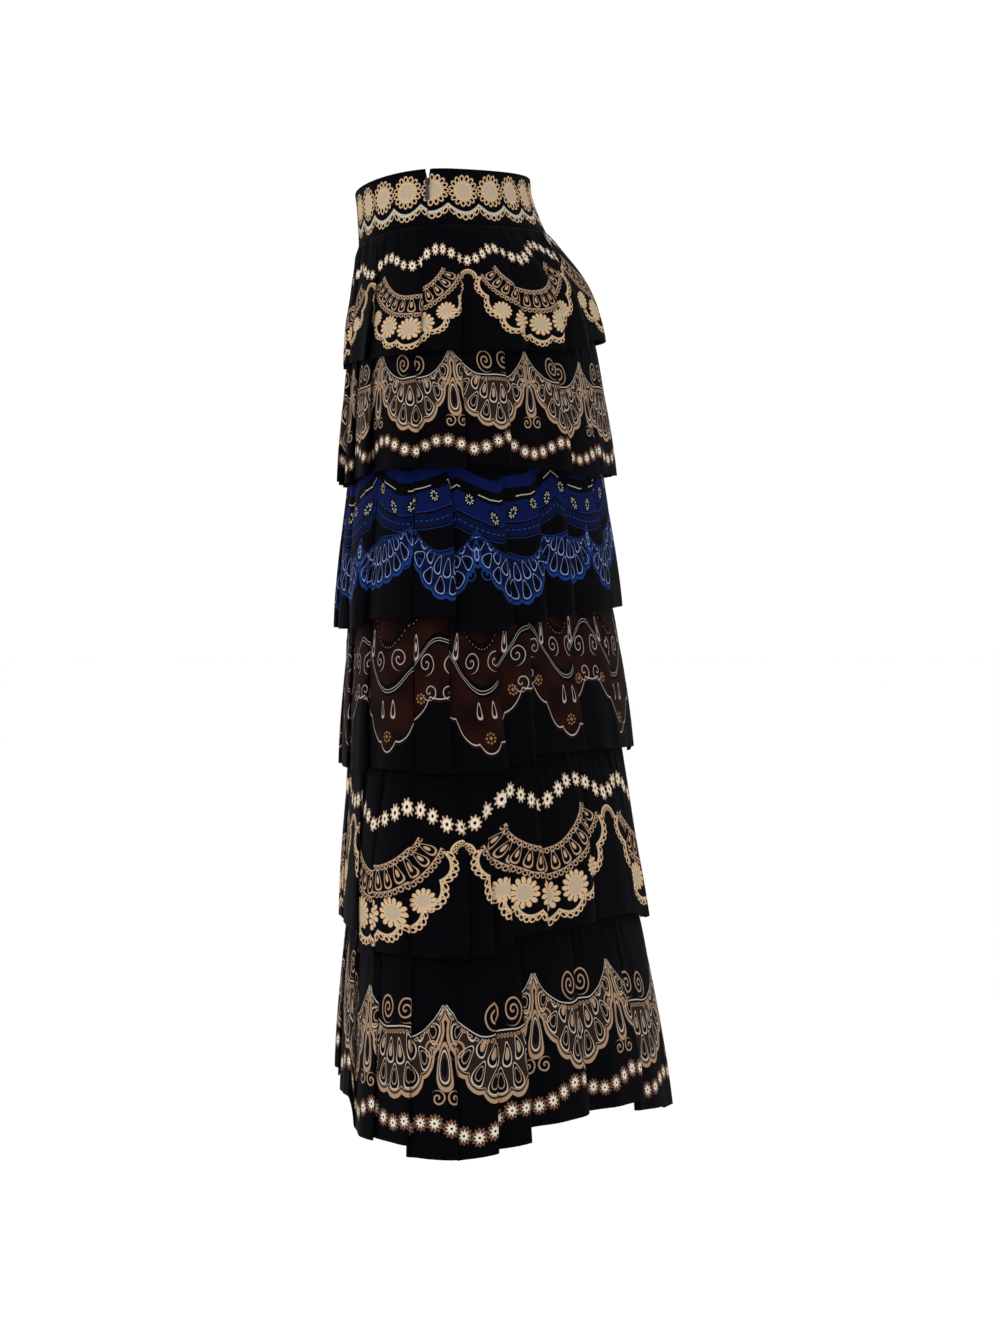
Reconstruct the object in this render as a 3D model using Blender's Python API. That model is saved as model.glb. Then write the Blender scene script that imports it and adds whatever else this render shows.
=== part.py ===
"""Maxi skirt: six ruffled tiers sewn to a foundation skirt, under a waistband with a side zip.

Metres, +Z up. The front faces -Y, and the wearer's left side, with the zip, faces +X.
The origin is the centre of the waist, level with the waistband's top edge.
"""

from collections import namedtuple
from math import asin, cos, pi, radians, sin, sqrt

import bmesh
import bpy
from mathutils import Matrix, Vector

# Cloth walls and seams
TIER_WALL = 0.0012
TIER_CLEAR = 0.0010
FOUNDATION_WALL = 0.0012
BAND_WALL = 0.0030
BAND_PROUD = 0.0016
TAPE_WALL = 0.0010
SEAM_GAP = 0.0003

# Heights of the waistband, the foundation skirt and the zip
BAND_BOTTOM = -0.0580
WAIST_DIP = -0.0120
WAIST_LIFT = 0.0040
FOUNDATION_TOP = BAND_BOTTOM - SEAM_GAP
FOUNDATION_BOTTOM = -0.760
ZIP_TOP = -0.0040
ZIP_BOTTOM = -0.200
TAPE_WIDTH = 0.0130

# The side seams, measured behind the waist's centre (so these are in front of it)
SEAM_AT_WAIST = -0.0127
SEAM_BELOW_HIP = -0.0200
HIP = -0.190
SEAM_ANGLE = radians(-15.0)

# The notch that the open end of the zip leaves in the waistband: half its width
NOTCH_TOP = 0.0025
NOTCH_AT_SLIDER = 0.0009

# The zip's slider and its pull tab
SLIDER_Z = -0.0135
NOTCH_FLARE = -0.0095
NOTCH_FOOT = -0.0176
SLIDER_WIDTH = 0.0044
SLIDER_HEIGHT = 0.0070
SLIDER_PLATE = 0.0010
SLIDER_CLEAR = 0.00035
NECK_WIDTH = 0.0012
NECK_HEIGHT = 0.0050
KEEPER_WIDTH = 0.0060
KEEPER_HEIGHT = 0.0080
KEEPER_PLATE = 0.0013
BRIDGE_WIDTH = 0.0014
BRIDGE_LENGTH = 0.0050
BRIDGE_BAR = 0.0008
BRIDGE_ROOM = 0.0018
PULL_BAR_RADIUS = 0.0005
PULL_ARM_WIDTH = 0.0008
PULL_ARM_INSIDE = 0.0010
PULL_THICKNESS = 0.0008
PULL_WINDOW = 0.0033
PULL_SHOULDER = 0.0020
PULL_WAIST = 0.0026
PULL_LENGTH = 0.0200
PULL_TOP = 0.0004
PULL_INNER_TOP = -0.0003
PULL_BAR_LENGTH = 0.0032
PULL_BAR_SIDES = 12
DROP_START = radians(12.0)
DROP_STEPS = 6
WELD = 1e-6
PULL_TIP_WIDTH = 0.0046
PULL_TIP_CLEAR = 0.0006

# The general figure that the cloth stands on: the foundation skirt's outer side.
# front and back are measured from the waist's centre line, half_width at the widest
# place, and taper says how much narrower the section is towards the back.
FormRow = namedtuple("FormRow", "z front back half_width taper")
FORM = (
    FormRow(0.000, 0.0914, 0.0914, 0.1260, 0.10),
    FormRow(-0.020, 0.0895, 0.0940, 0.1290, 0.10),
    FormRow(-0.058, 0.0875, 0.1090, 0.1400, 0.12),
    FormRow(-0.110, 0.0885, 0.1400, 0.1570, 0.15),
    FormRow(-0.150, 0.0905, 0.1520, 0.1700, 0.18),
    FormRow(-0.190, 0.0905, 0.1565, 0.1790, 0.21),
    FormRow(-0.305, 0.0910, 0.1630, 0.1920, 0.27),
    FormRow(-0.466, 0.0930, 0.1750, 0.2030, 0.32),
    FormRow(-0.605, 0.0940, 0.1850, 0.2130, 0.36),
    FormRow(-0.785, 0.0950, 0.2030, 0.2330, 0.39),
    FormRow(-0.985, 0.0960, 0.2250, 0.2600, 0.40),
)

# Each tier: its hidden top seam, its hem at the front, side and back, how far the hem
# lifts between side and back and at the front folds, how far the folds stand out at the
# hem, the most that one fold swells, its rows of facets, and where the shown folds tuck
# in, behind the waist's centre.
Tier = namedtuple(
    "Tier",
    "top hem_front hem_side hem_back lift front_lift out_front out_side out_back swell rows tucks",
)
TIERS = (
    Tier(-0.0583, -0.194, -0.192, -0.178, 0.000, 0.000, 0.0150, 0.019, 0.020, 0.0095, 3,
         (-0.094, -0.065, 0.017, 0.064, 0.108, 0.140)),
    Tier(-0.150, -0.318, -0.306, -0.312, 0.000, 0.000, 0.0205, 0.021, 0.018, 0.0105, 2,
         (-0.088, -0.060, 0.022, 0.066, 0.115, 0.148)),
    Tier(-0.280, -0.472, -0.467, -0.450, 0.000, 0.000, 0.0215, 0.022, 0.018, 0.012, 2,
         (-0.092, -0.058, 0.012, 0.065, 0.100, 0.127, 0.160)),
    Tier(-0.425, -0.618, -0.609, -0.603, 0.008, 0.000, 0.0140, 0.022, 0.017, 0.012, 2,
         (-0.085, -0.062, 0.015, 0.058, 0.092, 0.130, 0.172)),
    Tier(-0.572, -0.802, -0.793, -0.784, 0.020, 0.028, 0.0140, 0.023, 0.018, 0.014, 2,
         (-0.070, 0.018, 0.043, 0.070, 0.094, 0.147, 0.185)),
    Tier(-0.745, -0.990, -0.988, -0.991, 0.022, 0.042, 0.0180, 0.026, 0.020, 0.018, 2,
         (-0.075, -0.050, 0.022, 0.055, 0.084, 0.142, 0.188)),
)
WIDEST_FOLD = radians(30.0)
LEAST_OUT = 0.0096
FOLD_SHARE = 0.26
FOLD_LEAN = 0.22
FOLD_ROUND = 0.8
FOLD_SPREAD = 0.6
TUCK_RISE = 0.0015

# The turn over which the hem steps up at the front folds
FRONT_TURN = radians(22.0)

# How far the hidden side's folds drift from a mirror of the shown ones, in how many waves
HIDDEN_DRIFT = 0.05
HIDDEN_WAVES = 5

# Where a fold is cut into flat facets, from one tuck to the next
FOLD_STEPS = (0.0, 0.12, 0.36, 0.66, 0.90)

# Facets of the smooth pieces: heights, and widths beside the zip that its tapes share
BAND_ROWS = [0.0, -0.0095, -0.0165, -0.0180, -0.0380, BAND_BOTTOM]
FOUNDATION_ROWS = [
    FOUNDATION_TOP, -0.085, -0.115, -0.150, -0.200, -0.305, -0.466, -0.605, FOUNDATION_BOTTOM
]
TAPE_COLUMNS = (0.0, 0.0045, 0.0090, TAPE_WIDTH)
TAPE_RADIUS = 0.0914
SMOOTH_COLUMNS = 13

# How far the tapes' outer side lies behind the form
TAPE_DEPTH = 0.0020

# The step over which a surface's slope is read, and the angle past which an edge is sharp
REACH = 1e-4
SHARP_ANGLE = radians(40)

# Rounds in which a place round the cloth is found from its place behind the waist
SETTLE_ROUNDS = 12

COLLECTION = "maxi_skirt"
HELPERS = "helpers"

# The plain pieces' colours and roughness
BAND_COLOUR = (0.145, 0.118, 0.091)
BLACK_CREPE = (0.006, 0.006, 0.008)
BLACK_TAPE = (0.010, 0.010, 0.012)
DARK_METAL = (0.012, 0.011, 0.014)
CREPE_ROUGHNESS = 0.75
TAPE_ROUGHNESS = 0.70
METAL_ROUGHNESS = 0.35
METAL_SHARE = 0.8

# Each tier's average colour: its black ground with its print
TIER_COLOURS = (
    (0.060, 0.045, 0.035),
    (0.060, 0.042, 0.032),
    (0.010, 0.020, 0.070),
    (0.030, 0.014, 0.010),
    (0.070, 0.055, 0.042),
    (0.060, 0.042, 0.032),
)


def form_value(column, z):
    """One column of FORM at height z, on a smooth curve through its rows."""
    rows = FORM
    z = min(max(z, rows[-1].z), rows[0].z)
    last = len(rows) - 2
    i = next(k for k in range(last + 1) if z >= rows[k + 1].z or k == last)

    def slope(k):
        low, high = rows[max(k - 1, 0)], rows[min(k + 1, len(rows) - 1)]
        return (getattr(high, column) - getattr(low, column)) / (high.z - low.z)

    span = rows[i + 1].z - rows[i].z
    t = (z - rows[i].z) / span
    start, end = getattr(rows[i], column), getattr(rows[i + 1], column)
    return (
        (2 * t**3 - 3 * t**2 + 1) * start
        + (t**3 - 2 * t**2 + t) * span * slope(i)
        + (3 * t**2 - 2 * t**3) * end
        + (t**3 - t**2) * span * slope(i + 1)
    )


def seam_behind(z):
    """How far behind the waist's centre the side seams run at height z."""
    share = min(max((BAND_BOTTOM - z) / (BAND_BOTTOM - HIP), 0.0), 1.0)
    return SEAM_AT_WAIST + (SEAM_BELOW_HIP - SEAM_AT_WAIST) * share


def section(z):
    """Centre, half depth, half width and taper of the form at height z."""
    front, back = form_value("front", z), form_value("back", z)
    taper = form_value("taper", z)
    # The width cos(a) * (1 - taper * sin(a)) is greatest at this sine, and there this great.
    widest_sine = (1 - sqrt(1 + 8 * taper**2)) / (4 * taper)
    greatest = sqrt(1 - widest_sine**2) * (1 - taper * widest_sine)
    return (back - front) / 2, (back + front) / 2, form_value("half_width", z) / greatest, taper


def turned(angle, z):
    """The section's own angle for a place round the cloth: the seams stay in their plane."""
    centre, half_depth, _, _ = section(z)
    at_seam = asin((seam_behind(z) - centre) / half_depth)
    return angle + (at_seam - SEAM_ANGLE) / cos(SEAM_ANGLE) * cos(angle)


def waist_tilt(angle, z):
    """How far the waist lies under its level at the front and over it at the back, down to the hip."""
    share = min(max((z - HIP) / (BAND_BOTTOM - HIP), 0.0), 1.0)
    return by_side(angle, WAIST_DIP, 0.0, WAIST_LIFT) * share * share * (3 - 2 * share)


def form_point(angle, z, out=0.0, along=0.0):
    """The point of the form at an angle and a height, moved out and along the cloth."""
    centre, half_depth, half_width, taper = section(z)
    a = turned(angle, z)
    x = half_width * cos(a) * (1 - taper * sin(a))
    y = centre + half_depth * sin(a)
    dx = half_width * (-sin(a) * (1 - taper * sin(a)) - taper * cos(a) ** 2)
    dy = half_depth * cos(a)
    tangent = Vector((dx, dy, 0.0)).normalized()
    normal = Vector((tangent.y, -tangent.x, 0.0))
    return Vector((x, y, z + waist_tilt(angle, z))) + normal * out + tangent * along


def by_side(angle, front, side, back):
    """A value that goes from front to side to back round the skirt."""
    ahead, behind = max(-sin(angle), 0.0), max(sin(angle), 0.0)
    return side + (front - side) * ahead**2 + (back - side) * behind**2


def angle_at(behind, z):
    """The left side's angle where the cloth is this far behind the waist's centre."""
    centre, half_depth, _, _ = section(z)
    wanted = asin(min(max((behind - centre) / half_depth, -1.0), 1.0))
    angle = wanted
    for _ in range(SETTLE_ROUNDS):
        angle += wanted - turned(angle, z)
    return angle


def split_wide(tucks):
    """The tucks with more added wherever two lie too far apart for one fold."""
    found = [tucks[0]]
    for tuck in tucks[1:]:
        count = int((tuck - found[-1]) / WIDEST_FOLD) + 1
        start, step = found[-1], (tuck - found[-1]) / count
        found += [start + step * k for k in range(1, count)]
        found.append(tuck)
    return found


def tucks_of(tier):
    """Tuck angles of the front and the back panel, each from seam to seam."""
    shown = [angle_at(behind, tier.hem_side) for behind in tier.tucks]
    left, right = SEAM_ANGLE, pi - SEAM_ANGLE
    hidden = [pi - a + HIDDEN_DRIFT * sin(HIDDEN_WAVES * a) for a in shown]
    back = [a for a in shown if a > left] + [a for a in reversed(hidden) if a < right]
    front = [a - 2 * pi for a in reversed(hidden) if a > right] + [a for a in shown if a < left]
    front = [right - 2 * pi] + front + [left]
    back = [left] + back + [right]
    return split_wide(front), split_wide(back)


def hem_height(tier, angle, front_edge):
    """Height of a tier's hem, which steps up past the front edge and lifts towards the back."""
    hem = by_side(angle, tier.hem_front, tier.hem_side, tier.hem_back)
    past = min(max((front_edge - abs(angle + pi / 2)) / FRONT_TURN, 0.0), 1.0)
    hem += tier.front_lift * past * (2 - past)
    return hem + tier.lift * max(sin(angle), 0.0) * abs(cos(angle)) * 2


def tier_surface(tier, tucks):
    """A function of (column, share of the height) that gives a point of the tier's outer side."""
    z = tier.hem_side
    widths = [(form_point(b, z) - form_point(a, z)).length for a, b in zip(tucks, tucks[1:])]
    front_edge = abs(angle_at(tier.tucks[0], z) + pi / 2)

    def point(column, share):
        fold = min(int(column), len(widths) - 1)
        place = column - fold
        angle = tucks[fold] + (tucks[fold + 1] - tucks[fold]) * place
        hem = hem_height(tier, angle, front_edge)
        out = by_side(angle, tier.out_front, tier.out_side, tier.out_back)
        swell = min(FOLD_SHARE * widths[fold], tier.swell, out - LEAST_OUT)
        arch = sin(pi * place) ** FOLD_ROUND if 0 < place < 1 else 0.0
        lean = FOLD_LEAN * widths[fold] * sin(pi * place) * place
        grown = share * (1 + FOLD_SPREAD - FOLD_SPREAD * share)
        z = tier.top + (hem + TUCK_RISE * (1 - arch) - tier.top) * share
        sewn = TIER_CLEAR + TIER_WALL
        stand = sewn + (out - swell - sewn) * share * (2 - share)
        return form_point(angle, z, stand + swell * arch * grown, lean * grown)

    return point


def fold_columns(folds):
    return [k + step for k in range(folds) for step in FOLD_STEPS] + [float(folds)]


def even_steps(start, end, count):
    return [start + (end - start) * k / count for k in range(count + 1)]


def smooth_surface(out):
    """The form itself, moved out by one distance, as a function of angle and height."""
    return lambda angle, z: form_point(angle, z, out)


def notch(z):
    """Half the gap at the zip, which stands open above its slider."""
    if z < NOTCH_FOOT:
        return SEAM_GAP / 2
    share = max(z - NOTCH_FLARE, 0.0) / -NOTCH_FLARE
    return NOTCH_AT_SLIDER + (NOTCH_TOP - NOTCH_AT_SLIDER) * share


def plain_seam(z):
    return SEAM_GAP / 2


def cloth_wall(name, surface, columns, rows, thickness, material, seams=(plain_seam, plain_seam)):
    """A closed wall: a grid laid on surface(u, v), a copy moved inwards, and a rim between.

    seams gives half the gap to the next piece at the first and the last column.
    """
    last_column, last_row = len(columns) - 1, len(rows) - 1
    bm = bmesh.new()
    bmesh.ops.create_grid(bm, x_segments=last_column, y_segments=last_row, size=1.0)
    outer = list(bm.verts)
    rim = [edge for edge in bm.edges if edge.is_boundary]
    inner = bmesh.ops.duplicate(bm, geom=outer + bm.edges[:] + bm.faces[:])["vert_map"]
    for vert in outer:
        i = round((vert.co.x + 1) / 2 * last_column)
        j = round((vert.co.y + 1) / 2 * last_row)
        u, v = columns[i], rows[j]
        across = surface(u + REACH, v) - surface(u - REACH, v)
        down = surface(u, v + REACH) - surface(u, v - REACH)
        normal = down.cross(across).normalized()
        if normal.dot(form_normal(surface(u, v))) < 0:
            normal.negate()
        point = surface(u, v)
        if i == 0:
            point += across.normalized() * seams[0](point.z)
        if i == last_column:
            point -= across.normalized() * seams[1](point.z)
        vert.co = point
        level = Vector((normal.x, normal.y, 0.0)).normalized()
        inner[vert].co = point - level * (thickness / normal.dot(level))
    for edge in rim:
        a, b = edge.verts
        bm.faces.new((a, b, inner[b], inner[a]))
    face_outwards(bm)
    return add_object(name, bm, material)


def face_outwards(bm):
    bmesh.ops.recalc_face_normals(bm, faces=bm.faces)
    if bm.calc_volume(signed=True) < 0:
        bmesh.ops.reverse_faces(bm, faces=bm.faces)


def form_normal(point):
    """The direction away from the form's upright centre line, near enough to tell out from in."""
    return Vector((point.x, point.y - section(point.z)[0], 0.0))


def add_object(name, bm, material, matrix=None, helper=False):
    mesh = bpy.data.meshes.new(name)
    bm.to_mesh(mesh)
    bm.free()
    mesh.materials.append(material)
    mesh.shade_smooth()
    mesh.set_sharp_from_angle(angle=SHARP_ANGLE)
    obj = bpy.data.objects.new(name, mesh)
    if matrix:
        obj.matrix_world = matrix
    if helper:
        obj.hide_render = True
        obj.display_type = "WIRE"
    bpy.data.collections[HELPERS if helper else COLLECTION].objects.link(obj)
    return obj


def box(name, low, high, material, matrix, helper=True):
    """A box between two corners, in the frame that matrix gives."""
    bm = bmesh.new()
    low, high = Vector(low), Vector(high)
    bmesh.ops.create_cube(bm, size=1.0)
    for vert in bm.verts:
        vert.co = low + Vector(((high - low)[k] * (vert.co[k] + 0.5) for k in range(3)))
    return add_object(name, bm, material, matrix, helper)


def unite(obj, *others):
    for other in others:
        modifier = obj.modifiers.new(other.name, "BOOLEAN")
        modifier.operation = "UNION"
        modifier.object = other
    return obj


def finish(name, colour, roughness, metallic=0.0):
    """A material of one colour, for a cloth or a metal."""
    material = bpy.data.materials.new(name)
    material.use_nodes = True
    shader = material.node_tree.nodes["Principled BSDF"]
    shader.inputs["Base Color"].default_value = (*colour, 1.0)
    shader.inputs["Roughness"].default_value = roughness
    shader.inputs["Metallic"].default_value = metallic
    return material


def panel_angles():
    """Angles of the smooth panels' points from seam to seam: close together beside the zip."""
    left, right = SEAM_ANGLE, pi - SEAM_ANGLE
    beside = [width / TAPE_RADIUS for width in TAPE_COLUMNS]
    front = [left - b for b in beside]
    front += even_steps(front[-1], right - 2 * pi, SMOOTH_COLUMNS)[1:]
    back = [left + b for b in beside]
    back += even_steps(back[-1], right, SMOOTH_COLUMNS)[1:]
    return front[::-1], back


def make_waistband():
    material = finish("printed_crepe_band", BAND_COLOUR, CREPE_ROUGHNESS)
    front, back = panel_angles()
    surface = smooth_surface(BAND_PROUD)
    cloth_wall("waistband_front", surface, front, BAND_ROWS, BAND_WALL, material, (plain_seam, notch))
    cloth_wall("waistband_back", surface, back, BAND_ROWS, BAND_WALL, material, (notch, plain_seam))


def make_foundation():
    material = finish("plain_black_crepe", BLACK_CREPE, CREPE_ROUGHNESS)
    front, back = panel_angles()
    surface = smooth_surface(0.0)
    cloth_wall("foundation_front", surface, front, FOUNDATION_ROWS, FOUNDATION_WALL, material)
    cloth_wall("foundation_back", surface, back, FOUNDATION_ROWS, FOUNDATION_WALL, material)


def make_tiers():
    for number, tier in enumerate(TIERS, start=1):
        material = finish(f"printed_crepe_{number}", TIER_COLOURS[number - 1], CREPE_ROUGHNESS)
        for side, tucks in zip(("front", "back"), tucks_of(tier)):
            columns = fold_columns(len(tucks) - 1)
            rows = even_steps(0.0, 1.0, tier.rows)
            surface = tier_surface(tier, tucks)
            cloth_wall(f"tier_{number}_{side}", surface, columns, rows, TIER_WALL, material)


def make_zip_tapes():
    material = finish("woven_black_tape", BLACK_TAPE, TAPE_ROUGHNESS)
    surface = smooth_surface(-TAPE_DEPTH)
    rows = [ZIP_TOP] + [z for z in BAND_ROWS[1:] + FOUNDATION_ROWS if z > ZIP_BOTTOM] + [ZIP_BOTTOM]
    angles = [width / TAPE_RADIUS for width in TAPE_COLUMNS]
    back = [SEAM_ANGLE + a for a in angles]
    front = [SEAM_ANGLE - a for a in reversed(angles)]
    cloth_wall("zip_tape_front", surface, front, rows, TAPE_WALL, material, (plain_seam, notch))
    cloth_wall("zip_tape_back", surface, back, rows, TAPE_WALL, material, (notch, plain_seam))


def slider_frame():
    """The slider's frame at the side seam: X out of the cloth, Y to the back, Z up along the cloth."""
    point = form_point(SEAM_ANGLE, SLIDER_Z)
    rise = form_point(SEAM_ANGLE, SLIDER_Z + REACH) - form_point(SEAM_ANGLE, SLIDER_Z - REACH)
    back = (form_point(SEAM_ANGLE, SLIDER_Z, along=REACH) - point).normalized()
    return frame_of(point, back, rise)


def frame_of(point, back, up):
    """A frame at a point: Y to the back, Z as near to up as that allows, X out of the cloth."""
    out = back.cross(up).normalized()
    turn = Matrix((out, back, out.cross(back))).transposed().to_4x4()
    return Matrix.Translation(point) @ turn


def make_slider(frame):
    """Plate and bridge on the cloth, a neck through the seam, and a keeper behind the tapes."""
    metal = finish("lacquered_zinc", DARK_METAL, METAL_ROUGHNESS, METAL_SHARE)
    plate_in = BAND_PROUD + SLIDER_CLEAR
    plate_out = plate_in + SLIDER_PLATE
    keeper_out = -TAPE_DEPTH - TAPE_WALL - SLIDER_CLEAR
    half, wide = SLIDER_HEIGHT / 2, SLIDER_WIDTH / 2
    slider = box("zip_slider", (plate_in, -wide, -half), (plate_out, wide, half), metal, frame, False)
    sink = SLIDER_PLATE / 2
    neck = box(
        "slider_neck",
        (keeper_out - sink, -NECK_WIDTH / 2, -NECK_HEIGHT / 2),
        (plate_in + sink, NECK_WIDTH / 2, NECK_HEIGHT / 2),
        metal,
        frame,
    )
    keeper = box(
        "slider_keeper",
        (keeper_out - KEEPER_PLATE, -KEEPER_WIDTH / 2, -KEEPER_HEIGHT / 2),
        (keeper_out, KEEPER_WIDTH / 2, KEEPER_HEIGHT / 2),
        metal,
        frame,
    )
    roof_in = plate_out + BRIDGE_ROOM
    side, end = BRIDGE_WIDTH / 2, BRIDGE_LENGTH / 2
    roof = box(
        "bridge_roof", (roof_in, -side, -end), (roof_in + BRIDGE_BAR, side, end), metal, frame
    )
    posts = [
        box(
            f"bridge_post_{where}",
            (plate_out - sink, -side, min(end * way, (end - BRIDGE_BAR) * way)),
            (roof_in + BRIDGE_BAR / 2, side, max(end * way, (end - BRIDGE_BAR) * way)),
            metal,
            frame,
        )
        for where, way in (("top", 1), ("foot", -1))
    ]
    unite(slider, neck, keeper, *posts, roof)
    return slider


def pull_frame(frame):
    """The pull tab's frame on its bar's axis: it hangs along -Z and rests against the waistband."""
    pin = frame @ Vector((BAND_PROUD + SLIDER_CLEAR + SLIDER_PLATE + BRIDGE_ROOM / 2, 0.0, 0.0))
    tip_out = BAND_PROUD + PULL_TIP_CLEAR + PULL_THICKNESS / 2
    tip = form_point(SEAM_ANGLE, pin.z - PULL_LENGTH, tip_out)
    return frame_of(pin, frame.to_3x3().col[1], pin - tip)


def pull_outline():
    """The tab's outline as (across, up) points: straight arms, a waist and a rounded drop."""
    arm = PULL_ARM_INSIDE + PULL_ARM_WIDTH
    tip = PULL_TIP_WIDTH / 2
    drop_centre = -(PULL_LENGTH - tip)
    waist = (PULL_WAIST / 2, -PULL_WINDOW - PULL_SHOULDER)
    turns = even_steps(DROP_START, radians(-90), DROP_STEPS)
    drop = [(tip * cos(a), drop_centre + tip * sin(a)) for a in turns]
    half = [(arm, PULL_TOP), (arm, -PULL_WINDOW), waist] + drop
    return half + [(-x, y) for x, y in reversed(half[:-1])]


def add_spline(curve, points):
    spline = curve.splines.new("POLY")
    spline.points.add(len(points) - 1)
    for target, (across, up) in zip(spline.points, points):
        target.co = (across, up, 0.0, 1.0)
    spline.use_cyclic_u = True


def make_pull(frame):
    """A flat drop with a window that the slider's bridge passes through, hung on its top bar."""
    metal = finish("lacquered_zinc_pull", DARK_METAL, METAL_ROUGHNESS, METAL_SHARE)
    curve = bpy.data.curves.new("pull_outline", "CURVE")
    curve.dimensions = "2D"
    curve.fill_mode = "BOTH"
    curve.extrude = PULL_THICKNESS / 2
    add_spline(curve, pull_outline())
    side, top = PULL_ARM_INSIDE, PULL_INNER_TOP
    add_spline(curve, [(side, top), (side, -PULL_WINDOW), (-side, -PULL_WINDOW), (-side, top)])
    flat = bpy.data.objects.new("pull_outline", curve)
    bpy.data.collections[HELPERS].objects.link(flat)
    bpy.context.view_layer.update()
    graph = bpy.context.evaluated_depsgraph_get()
    mesh = bpy.data.meshes.new_from_object(flat.evaluated_get(graph))
    bpy.data.objects.remove(flat)
    bm = bmesh.new()
    bm.from_mesh(mesh)
    bmesh.ops.remove_doubles(bm, verts=bm.verts, dist=WELD)
    # The outline lies across (X) and up (Y); the tab's frame has them along Y and Z.
    upright = Matrix(((0, 0, 1), (1, 0, 0), (0, 1, 0))).to_4x4()
    bmesh.ops.transform(bm, matrix=upright, verts=bm.verts)
    face_outwards(bm)
    pull = add_object("zip_pull", bm, metal, frame)
    bar = bmesh.new()
    bmesh.ops.create_cone(
        bar,
        cap_ends=True,
        segments=PULL_BAR_SIDES,
        radius1=PULL_BAR_RADIUS,
        radius2=PULL_BAR_RADIUS,
        depth=PULL_BAR_LENGTH,
        matrix=Matrix.Rotation(radians(90), 4, "X"),
    )
    unite(pull, add_object("pull_bar", bar, metal, frame, helper=True))


def clear():
    for obj in list(bpy.data.objects):
        bpy.data.objects.remove(obj)
    for name in (COLLECTION, HELPERS):
        collection = bpy.data.collections.new(name)
        bpy.context.scene.collection.children.link(collection)


def main():
    clear()
    make_waistband()
    make_foundation()
    make_tiers()
    make_zip_tapes()
    frame = slider_frame()
    make_slider(frame)
    make_pull(pull_frame(frame))


main()
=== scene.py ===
"""Looks of a maxi skirt: six gathered, printed ruffles on a foundation skirt, a waistband and a zip.

Metres, +Z up. The front faces -Y, and the wearer's left side, with the zip, faces +X.
The origin is the centre of the waist, level with the waistband's top edge at the side.
Cloth lies in its own flat millimetres, so that each print follows the cloth into its folds.
"""

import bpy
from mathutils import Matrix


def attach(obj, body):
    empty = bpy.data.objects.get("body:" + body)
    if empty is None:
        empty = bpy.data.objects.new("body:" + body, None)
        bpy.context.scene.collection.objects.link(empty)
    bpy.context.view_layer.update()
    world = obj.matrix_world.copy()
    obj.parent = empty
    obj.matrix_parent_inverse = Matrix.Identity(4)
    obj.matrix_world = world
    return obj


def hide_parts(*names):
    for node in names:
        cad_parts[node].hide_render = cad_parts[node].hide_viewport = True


bl_info = {
    "name": "Tiered maxi skirt",
    "version": (1, 0, 0),
    "blender": (4, 5, 0),
    "location": "3D Viewport > Sidebar > Skirt",
    "description": "Makes the cloth, print, zip and stage of a tiered ruffle skirt",
    "category": "Object",
}

import ast
import operator
from collections import namedtuple
from math import atan, cos, pi, radians, sin, tau

import bpy
import numpy as np
from mathutils import Vector

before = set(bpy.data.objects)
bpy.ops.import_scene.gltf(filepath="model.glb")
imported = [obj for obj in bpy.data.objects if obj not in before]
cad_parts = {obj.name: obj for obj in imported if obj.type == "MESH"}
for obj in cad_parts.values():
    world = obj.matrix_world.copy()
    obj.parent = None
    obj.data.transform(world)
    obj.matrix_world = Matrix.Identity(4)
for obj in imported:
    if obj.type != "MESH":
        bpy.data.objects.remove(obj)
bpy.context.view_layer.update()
MM = 0.001

# Heights and walls that the solids have
TIER_WALL = 0.0012
TIER_CLEAR = 0.0010
BAND_PROUD = 0.0016
BAND_BOTTOM = -0.0580
WAIST_DIP = -0.0120
WAIST_LIFT = 0.0040
FOUNDATION_TOP = -0.0583
FOUNDATION_BOTTOM = -0.760
SEAM_GAP = 0.0003
ZIP_TOP = -0.0040
ZIP_BOTTOM = -0.200
TAPE_WIDTH = 0.0130
TAPE_DEPTH = 0.0020
SEAM_AT_WAIST = -0.0127
SEAM_BELOW_HIP = -0.0200
HIP = -0.190
SEAM_ANGLE = radians(-15.0)
NOTCH_TOP = 0.0025
NOTCH_AT_SLIDER = 0.0009
NOTCH_FLARE = -0.0095
NOTCH_FOOT = -0.0176

# The general figure that the cloth stands on: the foundation skirt's outer side
FormRow = namedtuple("FormRow", "z front back half_width taper")
FORM = (
    FormRow(0.000, 0.0914, 0.0914, 0.1260, 0.10),
    FormRow(-0.020, 0.0895, 0.0940, 0.1290, 0.10),
    FormRow(-0.058, 0.0875, 0.1090, 0.1400, 0.12),
    FormRow(-0.110, 0.0885, 0.1400, 0.1570, 0.15),
    FormRow(-0.150, 0.0905, 0.1520, 0.1700, 0.18),
    FormRow(-0.190, 0.0905, 0.1565, 0.1790, 0.21),
    FormRow(-0.305, 0.0910, 0.1630, 0.1920, 0.27),
    FormRow(-0.466, 0.0930, 0.1750, 0.2030, 0.32),
    FormRow(-0.605, 0.0940, 0.1850, 0.2130, 0.36),
    FormRow(-0.785, 0.0950, 0.2030, 0.2330, 0.39),
    FormRow(-0.985, 0.0960, 0.2250, 0.2600, 0.40),
)

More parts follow.
